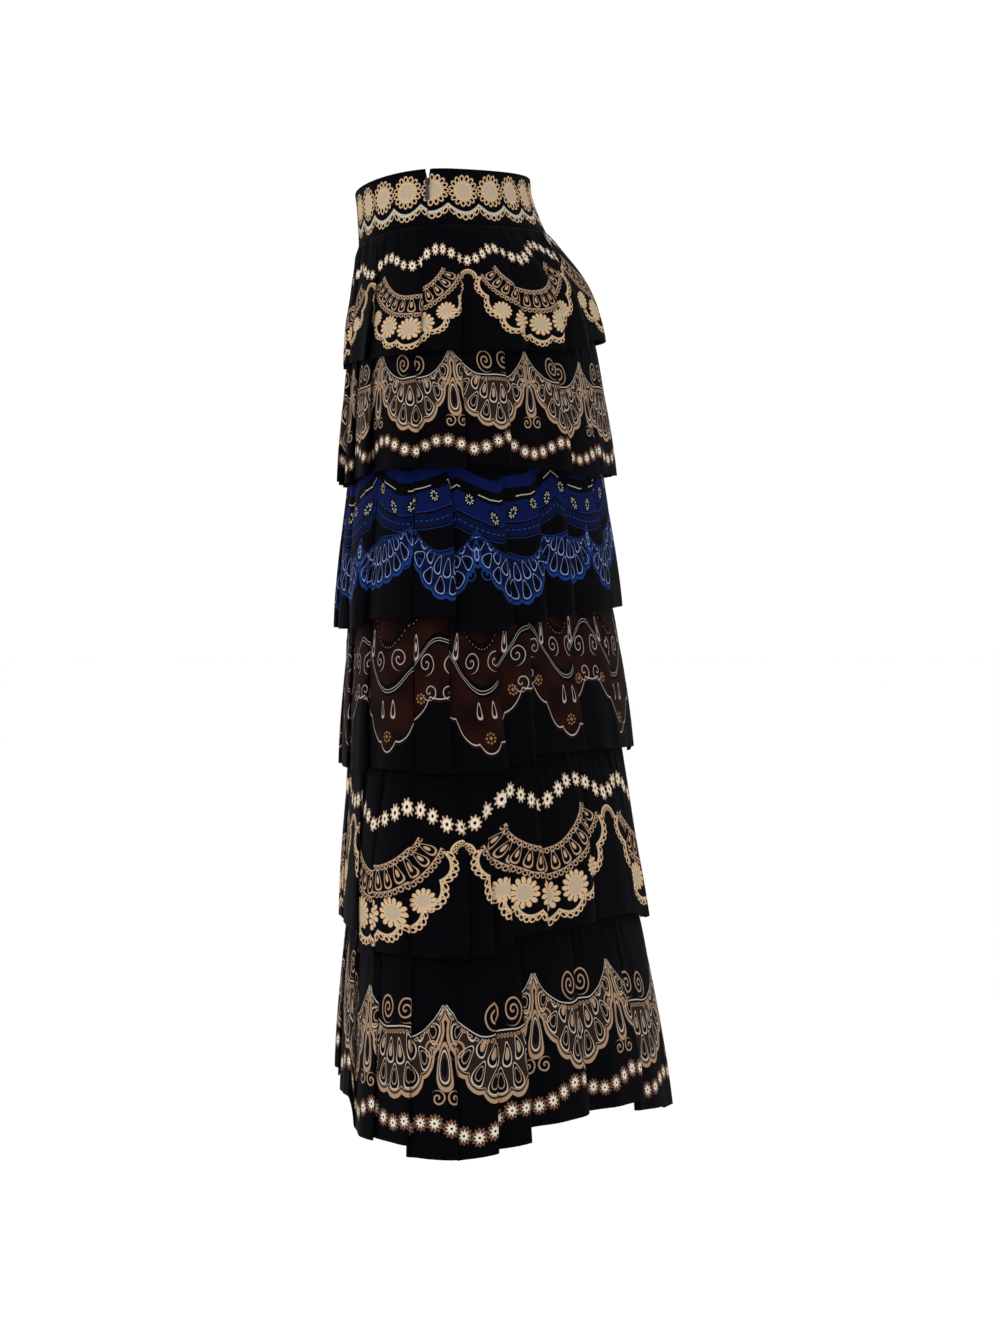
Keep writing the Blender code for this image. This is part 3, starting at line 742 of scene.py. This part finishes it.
def blue_print(cloth):
    """Drooping royal blue bands with ray daisies and thin dashes, over a row of blue fans."""
    band = cloth.motif("""
x = repeat(u, 150)
s = v - 20 / 5625 * x * x
blue = line(s - 145, 6) + line(s - 116, 10)
dim = line(s - 97, 6.5) - line(s - 97, 1.4)
stroke = line(s - 130.5, 0.45) * fill(repeat(u, 53) + 4)
dash = line(s - 97, 0.8) * fill(2.2 - abs(repeat(u, 6.5)))
low = line(s - 106, 0.3) + line(s - 88.5, 0.3)
y = s - 116 - 6 * sin(u * 0.083)
bay = fill(7.2 - hypot(repeat(u, 30), y))
""")
    cloth.ink(band, blue="royal", dim="deep", dash="halo", low="halo", bay="ground", stroke="lace")
    place = cloth.motif("x = repeat(u, 30)\nw = v + 9 * sin(u * 0.047)")
    rays = cloth.motif("""
r = hypot(x, y)
a = repeat(atan2(y, x), tau / 9)
ray = line(r * sin(a), 0.5) * line(r - 4.0, 1.4)
""", x=place["x"], y=band["y"])
    cloth.ink(rays, ray="lace")
    fan = cloth.motif(FAN, v=place["w"], shift=48.0, pitch=96.0, top=112.0, size=86.0, thin=0.45)
    cloth.ink(
        fan, body="deep", cell="ground", outline="pale", seed="royal", border="halo",
        rim="halo", pearl="halo",
    )
    sprig = cloth.motif("""
x = repeat(u, 96)
y = 80 - v
leaf = drop(x, y, 7.5, 15)
skin = line(leaf + 1, 0.9)
heart = line(leaf + 4.4, 0.5)
side = abs(x) - 10
turn = spiral(hypot(side, y - 22), atan2(side, y - 22) * 0.8, 5, 0.6, 7.5)
""")
    cloth.ink(sprig, skin="halo", heart="pale", turn="halo")


def rust_print(cloth):
    """Rust patches with thin cream scrolls and drops, over a drooping scallop line with gold flowers."""
    patch = cloth.motif("""
level = 48 - 28 * cos(u * (tau / 140))
over = v - level
rust = line(over - 29, 26) + line(over - 84, 17) + line(over - 124, 14)
worn = rust * (0.56 + 0.36 * sin(u * 0.09) * cos(v * 0.11))
thin = line(over - 58.5, 0.3) + line(over - 61.5, 0.3)
dots = fill(0.75 - hypot(repeat(u, 4.2), over - 104))
p = swing(u, 35)
turn = spiral(hypot(p - 17, v - 112), atan2(v - 112, p - 17) * -1.08, 6.8, 0.42, 11.5)
q = swing(u, 70)
roll = spiral(hypot(q - 58, v - 84), atan2(v - 84, q - 58) * 1.19, 7.5, 0.45, 10.5)
""")
    cloth.ink(patch, worn="rust", thin="line", dots="gold", turn="line", roll="line")
    tears = cloth.motif("""
tear = drop(q - 8, 62 - v, 3.2, 8)
tall = drop(q - 38, 128 - v, 4.0, 12)
tear = line(tear, 0.45) + line(tall, 0.45) + fill(0 - tall - 2.4)
""", q=patch["q"])
    cloth.ink(tears, tear="line")
    flower = cloth.motif("""
x = repeat(u, 46.67)
y = v - 63 + 28 * cos((u - x) * (tau / 140))
d = hypot(x, y)
ring = fill(1.1 - hypot(repeat(atan2(y, x), tau / 8) * 4.6, d - 4.6))
eye = fill(1.7 - d)
""")
    cloth.ink(flower, ring="gold", eye="gold")
    fringe = cloth.motif("""
x = repeat(u, 23.33)
arc = over - 6.5 / 136 * x * x
edge = line(arc, 0.65)
under = line(arc + 2.6, 0.7)
""", over=patch["over"])
    cloth.ink(fringe, under="rust", edge="line")


def plain_cloth(cloth):
    """Left as it was dyed."""


# Crepe's own grain: its twisted threads draw the cloth into pebbles of about 0.5 mm. That is
# finer than a pixel of the render, so it is drawn three times as coarse to show at all.
PEBBLE = 0.5 * 3
PEBBLE_HEIGHT = 0.00010
CRINKLE = 7.0
CRINKLE_HEIGHT = 0.00035
HEM_STITCH = 9.0
STITCH_HEIGHT = 0.00012


def crepe(name, lay, scale=1.0):
    """Woven viscose crepe, piece-dyed and screen-printed.

    Its pebbled face scatters light, so the ground stays matt and very dark with a faint
    bloom at grazing angles, and the higher pebbles are a little more matt still.
    """
    material, tree, shader = new_material(name)
    cloth = Print(tree, bpy.context.scene.skirt_inks, scale)
    lay(cloth)
    pebble = noise(tree, scale / PEBBLE, 1.0, cloth.flat).outputs[0]
    # Crinkles run with the warp, so they are four times as long as they are wide.
    warp = {0: cloth.flat, 1: (scale / CRINKLE, scale / CRINKLE / 4, 0.0)}
    warp = add(tree, "VectorMath", warp, operation="MULTIPLY").outputs[0]
    crinkle = noise(tree, 1.0, flat=warp).outputs[0]
    height = formula(
        tree,
        "high = pebble * low + crinkle * deep - line(v * size - hem, 0.7) * stitch",
        pebble=pebble, crinkle=crinkle, v=cloth.v, size=scale, hem=HEM_STITCH,
        low=PEBBLE_HEIGHT, deep=CRINKLE_HEIGHT, stitch=STITCH_HEIGHT,
    )["high"]
    bump = add(tree, "Bump", {"Height": height, "Distance": 1.0, "Strength": 1.0}).outputs[0]
    # Painted shade of the pebbles: the colour is darker in their hollows and lighter on their tops, which
    # breaks up flat ink.
    pebble_shade = formula(tree, "k = 0.60 + 0.35 * pebble", pebble=pebble)["k"]
    printed = cloth.colour[:3] if isinstance(cloth.colour, tuple) else cloth.colour
    dyed = add(tree, "VectorMath", {0: printed, 3: pebble_shade}, operation="SCALE").outputs[0]
    rough = formula(tree, "k = 0.78 + 0.12 * pebble", pebble=pebble)["k"]
    plug(tree, shader, {
        "Base Color": dyed, "Roughness": rough, "Normal": bump, "IOR": 1.5,
        "Specular IOR Level": 0.028, "Sheen Weight": 0.005, "Sheen Roughness": 0.55,
        "Sheen Tint": (0.55, 0.55, 0.80, 1.0),
    })
    return material


def colour(text, name, note):
    return bpy.props.FloatVectorProperty(
        name=name, description=note, default=linear(text), size=3, subtype="COLOR", min=0, max=1
    )


def length(value, name, note, low=0.0):
    return bpy.props.FloatProperty(
        name=name, description=note, default=value, min=low, unit="LENGTH", precision=4
    )


class SkirtInks(bpy.types.PropertyGroup):
    ground: colour("#030205", "Ground", "The black cloth, dyed with a trace of indigo")
    cream: colour("#c4ab8a", "Cream", "Medallions")
    biscuit: colour("#b5a28a", "Biscuit", "Middles of the medallions, and ribs in the lace")
    petal: colour("#cfae88", "Petal", "Loops, drops and picots")
    sand: colour("#a3866c", "Sand", "Scalloped borders and scrolls of the drooping fans")
    peach: colour("#bb9a7e", "Peach", "Loops, drops and scalloped borders")
    lace: colour("#b8b5ab", "Lace", "Printed lace edges")
    daisy: colour("#e2d6c0", "Daisy", "Daisy petals")
    white: colour("#c2b9ad", "White", "White outlines")
    brown: colour("#2c1d16", "Brown", "Grounds of the drooping fans")
    bark: colour("#6b4a38", "Bark", "Spiky haloes round the daisies")
    cell: colour("#0a0709", "Cell", "Dark cells in the drooping fans")
    royal: colour("#081342", "Royal blue", "Blue bands")
    deep: colour("#070f30", "Deep blue", "Grounds of the blue fans")
    halo: colour("#153370", "Halo", "Brighter blue outlines")
    pale: colour("#8496bd", "Pale blue", "Palest blue lines")
    rust: colour("#260f09", "Rust", "Rust patches")
    line: colour("#aea69d", "Line", "Thin cream lines")
    gold: colour("#8d6643", "Gold", "Small dotted flowers")


class SkirtSizes(bpy.types.PropertyGroup):
    cloth: length(0.00045, "Cloth", "Thickness of the crepe")
    column_step: length(0.0026, "Column step", "Distance between points round a ruffle", 0.001)
    row_step: length(0.0045, "Row step", "Distance between points down a ruffle", 0.001)
    hem: length(0.010, "Hem", "Depth of the turned hem")
    band: length(0.0026, "Waistband", "Thickness of the folded and stiffened waistband")
    tape: length(0.0006, "Zip tape", "Thickness of the woven zip tape")
    tooth_pitch: length(0.0016, "Tooth pitch", "Distance from one zip tooth to the next")


class StageSettings(bpy.types.PropertyGroup):
    distance: length(3.1, "Distance", "From the waist's centre to the camera")
    eye: length(-0.39, "Eye", "The camera's height")
    behind: length(0.061, "Behind", "How far behind the waist's centre the camera looks")
    pixel: length(0.00107, "Pixel", "What one photo pixel spans at the waist's centre")
    floor: length(-1.55, "Floor", "The floor's height", -3.0)
    daylight: bpy.props.FloatProperty(
        name="Daylight", description="Strength of the even light all round", default=1.03, min=0
    )
    key: bpy.props.FloatProperty(
        name="Key", description="Power of the large soft light ahead", default=45.0, min=0, unit="POWER"
    )
    fill: bpy.props.FloatProperty(
        name="Fill", description="Power of the light from behind", default=18.0, min=0, unit="POWER"
    )


# Which print each tier has, and how much larger it is than on the first tier that has it
TierLook = namedtuple("TierLook", "slot material lay scale shift")
TIER_LOOKS = (
    TierLook("swag_print", "printed_crepe_small_swags", swag_print, 1.0, 0.020),
    TierLook("fan_print", "printed_crepe_small_fans", fan_print, 0.80, 0.010),
    TierLook("blue_print", "printed_crepe_blue", blue_print, 1.0, 0.000),
    TierLook("rust_print", "printed_crepe_rust", rust_print, 1.0, 0.035),
    TierLook("swag_print", "printed_crepe_large_swags", swag_print, 1.37, 0.060),
    TierLook("fan_print", "printed_crepe_large_fans", fan_print, 1.0, 0.030),
)


def reverse_side():
    """The crepe's unprinted wrong side, one material for all pieces."""
    return bpy.data.materials.get("dyed_crepe_reverse") or crepe("dyed_crepe_reverse", plain_cloth)


class SKIRT_OT_ruffles(bpy.types.Operator):
    """Makes the front and back panel of each of the six gathered ruffles"""

    bl_idname = "skirt.ruffles"
    bl_label = "Ruffles"

    def execute(self, context):
        sizes = context.scene.skirt_sizes
        for number, (tier, look) in enumerate(zip(TIERS, TIER_LOOKS), start=1):
            material = crepe(look.material, look.lay, look.scale)
            panels = tucks_of(tier)
            seeds = (CREASE_SEED + 10 * number, CREASE_SEED + 10 * number + 1)
            steps = [hem_steps(number, tucks, seed) for tucks, seed in zip(panels, seeds)]
            for k, side in enumerate(("front", "back")):
                hem = np.append(steps[k], steps[1 - k][0])
                points, flat = ruffle_points(number, seeds[k], panels[k], hem, sizes)
                # The strip is cut as deep as the cloth is on average, between its steps at the hem.
                width, depth = float(flat[..., 0].max()), float(flat[0, :, 1].mean())
                # The print's repeat is centred on the zip's seam, whichever panel it is on.
                shift = look.shift - (width if side == "front" else 0.0)
                points, flat = turn_in_seams(points, flat + np.array([shift, 0.0]))
                name = f"ruffle_{number}_{side}"
                piece = piece_from_grid(name, points, flat, (material, reverse_side()))
                hem_rows = round(sizes.hem / sizes.row_step) + 1
                thicken(piece, 2 * sizes.cloth, hem_rows, points.shape[1])
                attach(piece, "skirt")
                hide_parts(f"tier_{number}_{side}")
        return {"FINISHED"}


def panel_angles(count):
    """Angles from seam to seam of the front and of the back panel."""
    left, right = SEAM_ANGLE, pi - SEAM_ANGLE
    t = np.linspace(0, 1, count + 1)
    # Closer together beside the zip, where the notch shows
    t = t * (0.6 + 0.4 * t)
    return (left + (right - tau - left) * t)[::-1], left + (right - left) * t


def notch(z):
    """Half the gap at the zip, which stands open above its slider."""
    share = np.maximum(z - NOTCH_FLARE, 0) / -NOTCH_FLARE
    wide = NOTCH_AT_SLIDER + (NOTCH_TOP - NOTCH_AT_SLIDER) * share
    return np.where(z < NOTCH_FOOT, SEAM_GAP / 2, wide)


BAND_COLUMNS = 110
BAND_ROWS = 26
NOTCH_REACH = 0.006
EDGE_STEPS = 6

# What the seam at the zip takes of the front half's print
LOST_AT_ZIP = 0.006

# Where the inner face lies in the print: below it all, so that it stays plain
INSIDE_PRINT = -0.05


def band_profile(thickness):
    """The waistband's cross-section as a closed loop of (height, depth behind its face)."""
    r = thickness / 2
    turn = np.linspace(0, pi, EDGE_STEPS + 1)
    down = np.linspace(-r, BAND_BOTTOM + r, BAND_ROWS)
    loop = [(z, 0.0) for z in down[:-1]]
    loop += [(BAND_BOTTOM + r - r * sin(a), r - r * cos(a)) for a in turn]
    loop += [(z, thickness) for z in down[::-1][1:-1]]
    loop += [(-r + r * sin(a), r + r * cos(a)) for a in turn[:-1]]
    return np.array(loop)


class SKIRT_OT_waistband(bpy.types.Operator):
    """Makes the two halves of the stiffened waistband, with the notch above the zip"""

    bl_idname = "skirt.waistband"
    bl_label = "Waistband"

    def execute(self, context):
        thickness = context.scene.skirt_sizes.band
        material = crepe("printed_crepe_waistband", waistband_print)
        profile = band_profile(thickness)
        z, depth = profile[:, :1], profile[:, 1:]
        for side, angles in zip(("front", "back"), panel_angles(BAND_COLUMNS)):
            way = 1.0 if side == "back" else -1.0
            middle = form_point(angles, BAND_BOTTOM / 2, BAND_PROUD)
            steps = np.linalg.norm(np.diff(middle, axis=0), axis=1)
            along = np.concatenate([[0.0], np.cumsum(steps)])
            from_zip = along if side == "back" else along[-1] - along
            near = 1 - smooth(0, NOTCH_REACH, from_zip)
            open_by = way * notch(z) * near
            points = form_point(angles, z, BAND_PROUD - depth, open_by)
            above = np.where(depth > thickness / 2, INSIDE_PRINT, z - BAND_BOTTOM)
            across = way * from_zip - LOST_AT_ZIP * (side == "front")
            flat = np.stack(np.broadcast_arrays(across, above), axis=-1)
            name = f"waistband_cloth_{side}"
            piece = piece_from_grid(name, points, flat, (material,), closed=True)
            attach(piece, "skirt")
            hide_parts(f"waistband_{side}")
        return {"FINISHED"}


FOUNDATION_COLUMNS = 90
FOUNDATION_ROWS = 110
FOUNDATION_HEM_ROWS = 3


class SKIRT_OT_foundation(bpy.types.Operator):
    """Makes the plain foundation skirt that carries the ruffles"""

    bl_idname = "skirt.foundation"
    bl_label = "Foundation skirt"

    def execute(self, context):
        sizes = context.scene.skirt_sizes
        material = crepe("dyed_crepe_foundation", plain_cloth)
        z = np.linspace(FOUNDATION_TOP, FOUNDATION_BOTTOM, FOUNDATION_ROWS + 1)[:, None]
        for side, angles in zip(("front", "back"), panel_angles(FOUNDATION_COLUMNS)):
            points = form_point(angles, z, 0.0)
            flat = flat_cloth(points, np.broadcast_to(z - z.min(), points.shape[:2]), share=0.5)
            piece = piece_from_grid(f"foundation_cloth_{side}", points, flat, (material, reverse_side()))
            thicken(piece, 2 * sizes.cloth, FOUNDATION_HEM_ROWS, points.shape[1])
            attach(piece, "skirt")
            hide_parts(f"foundation_{side}")
        return {"FINISHED"}


def woven_tape():
    """Woven polyester zip tape: a fine herringbone, matt, a shade greyer than the crepe."""
    material, tree, shader = new_material("woven_polyester_tape")
    place = add(tree, "SeparateXYZ", {0: flat_place(tree)})
    # Threads 0.4 mm apart, drawn at 0.8 mm so that they show close by
    # The grey is painted shade of the weave: darker in the grooves between the threads and lighter on
    # their tops.
    weave = formula(tree, """
rib = sin((u + swing(v, 0.004)) * (tau / 0.0008))
shade = 0.010 + 0.003 * rib
high = rib * 0.00004
""", u=place.outputs[0], v=place.outputs[1])
    bump = add(tree, "Bump", {"Height": weave["high"], "Distance": 1.0}).outputs[0]
    plug(tree, shader, {
        "Base Color": grey(tree, weave["shade"]), "Normal": bump, "Roughness": 0.7,
        "Specular IOR Level": 0.2,
    })
    return material


TAPE_COLUMNS = 8
TAPE_ROWS = 80
TOOTH_HEIGHT = 0.0009
TOOTH_DEPTH = 0.0012
TOOTH_REACH = 0.0013


def teeth_faces(points, outs, backs):
    """Small blocks at the given points, each a box along out, back and up."""
    corners, faces = [], []
    signs = [(a, b, c) for a in (-1, 1) for b in (-1, 1) for c in (-1, 1)]
    sides = ((0, 1, 3, 2), (4, 6, 7, 5), (0, 4, 5, 1), (2, 3, 7, 6), (0, 2, 6, 4), (1, 5, 7, 3))
    for point, out, back in zip(points, outs, backs):
        first = len(corners)
        for a, b, c in signs:
            spot = point + out * (a * TOOTH_DEPTH / 2) + back * (b * TOOTH_REACH / 2)
            spot = spot + np.array([0.0, 0.0, c * TOOTH_HEIGHT / 2])
            corners.append(spot.tolist())
        faces += [[first + k for k in side] for side in sides]
    return corners, faces


class SKIRT_OT_zip_tapes(bpy.types.Operator):
    """Makes the two woven zip tapes and the coil teeth along their edges"""

    bl_idname = "skirt.zip_tapes"
    bl_label = "Zip tapes"

    def execute(self, context):
        sizes = context.scene.skirt_sizes
        material = woven_tape()
        z = np.linspace(ZIP_TOP, ZIP_BOTTOM, TAPE_ROWS + 1)[:, None]
        radius = FORM[0].front
        for side, way in (("front", -1.0), ("back", 1.0)):
            share = np.linspace(0, 1, TAPE_COLUMNS + 1)
            if side == "front":
                share = share[::-1]
            angles = SEAM_ANGLE + way * share * TAPE_WIDTH / radius
            open_by = way * notch(z) * (1 - share)
            points = form_point(angles, z, -TAPE_DEPTH, open_by)
            flat = np.stack(np.broadcast_arrays(share * TAPE_WIDTH, z), axis=-1)
            piece = piece_from_grid(f"zip_tape_cloth_{side}", points, flat, (material,))
            solid = piece.modifiers.new("tape_thickness", "SOLIDIFY")
            solid.thickness = sizes.tape
            solid.offset = -1
            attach(piece, "skirt")
            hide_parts(f"zip_tape_{side}")
            self.teeth(side, way, sizes.tooth_pitch)
        return {"FINISHED"}

    def teeth(self, side, way, pitch):
        """Coil teeth on the tape's inner face, those of one side between those of the other."""
        start = ZIP_TOP - (0.0 if side == "back" else pitch / 2)
        z = np.arange(start - pitch, ZIP_BOTTOM + pitch, -pitch)
        reach = way * (notch(z) + TOOTH_REACH / 2 - SEAM_GAP / 2)
        inner = -TAPE_DEPTH - bpy.context.scene.skirt_sizes.tape - TOOTH_DEPTH / 2
        points = form_point(SEAM_ANGLE, z, inner, reach)
        outs = form_point(SEAM_ANGLE, z, 1.0) - form_point(SEAM_ANGLE, z)
        backs = form_point(SEAM_ANGLE, z, 0.0, 1.0) - form_point(SEAM_ANGLE, z)
        corners, faces = teeth_faces(points, outs, backs)
        mesh = bpy.data.meshes.new(f"zip_teeth_{side}")
        mesh.from_pydata(corners, [], faces)
        mesh.materials.append(coil_nylon())
        teeth = bpy.data.objects.new(f"zip_teeth_{side}", mesh)
        bpy.context.scene.collection.objects.link(teeth)
        bevel = teeth.modifiers.new("rounded", "BEVEL")
        bevel.width = TOOTH_HEIGHT / 5
        bevel.segments = 1
        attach(teeth, "skirt")


def coil_nylon():
    """Black nylon coil, drawn and heat-set: smooth, with small soft highlights."""
    found = bpy.data.materials.get("drawn_black_nylon")
    if found:
        return found
    material, tree, shader = new_material("drawn_black_nylon")
    scuff = noise(tree, scale=900.0).outputs[0]
    rough = formula(tree, "k = 0.30 + 0.25 * scuff", scuff=scuff)["k"]
    black = (*linear("#131216"), 1.0)
    plug(tree, shader, {"Base Color": black, "Roughness": rough, "IOR": 1.53})
    return material


def lacquered_zinc():
    """Die-cast zinc under black lacquer: dark and half glossy, with small bare spots of wear."""
    material, tree, shader = new_material("lacquered_die_cast_zinc")
    # Wear in spots of about 0.6 mm
    wear = noise(tree, 1 / 0.0006, 3.0).outputs[0]
    worn = formula(tree, "bare = fill((wear - 0.76) * 5)\nrough = 0.34 + 0.22 * wear", wear=wear)
    mix = {0: worn["bare"], 6: (*linear("#0b0a0c"), 1.0), 7: (*linear("#77757a"), 1.0)}
    base = add(tree, "Mix", mix, data_type="RGBA").outputs[2]
    plug(tree, shader, {"Base Color": base, "Roughness": worn["rough"], "Metallic": worn["bare"]})
    return material


class SKIRT_OT_zip_metal(bpy.types.Operator):
    """Gives the zip's slider and pull tab their lacquered metal"""

    bl_idname = "skirt.zip_metal"
    bl_label = "Zip metal"

    def execute(self, context):
        metal = lacquered_zinc()
        for node in ("zip_slider", "zip_pull"):
            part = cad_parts[node]
            part.data.materials.clear()
            part.data.materials.append(metal)
        return {"FINISHED"}


PHOTO_HEIGHT = 1334
PHOTO_WAIST_ROW = 186
SENSOR = 36.0
FLOOR_SIDE = 60.0

# Where each soft light stands, as metres from the skirt's middle, and its side
Light = namedtuple("Light", "name place side")
KEY_LIGHT = Light("key_softbox", (2.6, -2.6, 1.3), 2.4)
FILL_LIGHT = Light("fill_softbox", (2.2, 3.0, 0.2), 2.6)


def soft_light(light, power, target):
    data = bpy.data.lights.new(light.name, "AREA")
    data.energy = power
    data.size = light.side
    lamp = bpy.data.objects.new(light.name, data)
    lamp.location = target + Vector(light.place)
    lamp.rotation_euler = (target - lamp.location).to_track_quat("-Z", "Y").to_euler()
    bpy.context.scene.collection.objects.link(lamp)


class SKIRT_OT_stage(bpy.types.Operator):
    """Makes the pale floor, the soft light and the camera at the photo's angle"""

    bl_idname = "skirt.stage"
    bl_label = "Stage"

    def execute(self, context):
        stage = context.scene.skirt_stage
        self.camera(stage)
        self.floor(stage)
        target = Vector((0.0, stage.behind, stage.eye))
        soft_light(KEY_LIGHT, stage.key, target)
        soft_light(FILL_LIGHT, stage.fill, target)
        world = bpy.data.worlds.new("even_daylight")
        world.use_nodes = True
        light = world.node_tree.nodes["Background"]
        light.inputs["Color"].default_value = (1.0, 1.0, 1.0, 1.0)
        light.inputs["Strength"].default_value = stage.daylight
        context.scene.world = world
        context.scene.view_settings.view_transform = "Standard"
        return {"FINISHED"}

    def camera(self, stage):
        data = bpy.data.cameras.new("photo_camera")
        focal = stage.distance / stage.pixel
        data.sensor_width = SENSOR
        data.lens = focal / PHOTO_HEIGHT * SENSOR
        # The waist's centre lies at this row, which sets how far the camera looks down.
        eye_row = PHOTO_WAIST_ROW - stage.eye / stage.pixel
        down = atan((PHOTO_HEIGHT / 2 - eye_row) / focal)
        camera = bpy.data.objects.new("photo_camera", data)
        camera.location = (stage.distance, stage.behind, stage.eye)
        camera.rotation_euler = (pi / 2 - down, 0.0, pi / 2)
        bpy.context.scene.collection.objects.link(camera)
        bpy.context.scene.camera = camera

    def floor(self, stage):
        bpy.ops.mesh.primitive_plane_add(size=FLOOR_SIDE, location=(0, 0, stage.floor))
        floor = bpy.context.object
        floor.name = "studio_floor"
        material, tree, shader = new_material("matt_white_paper")
        fleck = noise(tree, scale=40.0).outputs[0]
        tone = formula(tree, "k = 0.965 + 0.01 * fleck", fleck=fleck)["k"]
        plug(tree, shader, {"Base Color": grey(tree, tone), "Roughness": 0.9})
        floor.data.materials.append(material)


STEPS = (
    SKIRT_OT_waistband, SKIRT_OT_foundation, SKIRT_OT_ruffles,
    SKIRT_OT_zip_tapes, SKIRT_OT_zip_metal, SKIRT_OT_stage,
)


class VIEW3D_PT_skirt(bpy.types.Panel):
    bl_label = "Tiered maxi skirt"
    bl_space_type = "VIEW_3D"
    bl_region_type = "UI"
    bl_category = "Skirt"

    def draw(self, context):
        for step in STEPS:
            self.layout.operator(step.bl_idname)
        for group in (context.scene.skirt_sizes, context.scene.skirt_inks, context.scene.skirt_stage):
            box = self.layout.box()
            for name in group.bl_rna.properties.keys():
                if name not in ("rna_type", "name"):
                    box.prop(group, name)


CLASSES = (SkirtInks, SkirtSizes, StageSettings, *STEPS, VIEW3D_PT_skirt)


def register():
    for kind in CLASSES:
        bpy.utils.register_class(kind)
    bpy.types.Scene.skirt_inks = bpy.props.PointerProperty(type=SkirtInks)
    bpy.types.Scene.skirt_sizes = bpy.props.PointerProperty(type=SkirtSizes)
    bpy.types.Scene.skirt_stage = bpy.props.PointerProperty(type=StageSettings)


def unregister():
    del bpy.types.Scene.skirt_inks, bpy.types.Scene.skirt_sizes, bpy.types.Scene.skirt_stage
    for kind in reversed(CLASSES):
        bpy.utils.unregister_class(kind)


def main():
    register()
    bpy.ops.skirt.waistband()
    bpy.ops.skirt.foundation()
    bpy.ops.skirt.ruffles()
    bpy.ops.skirt.zip_tapes()
    bpy.ops.skirt.zip_metal()
    bpy.ops.skirt.stage()


if __name__ == "__main__":
    main()
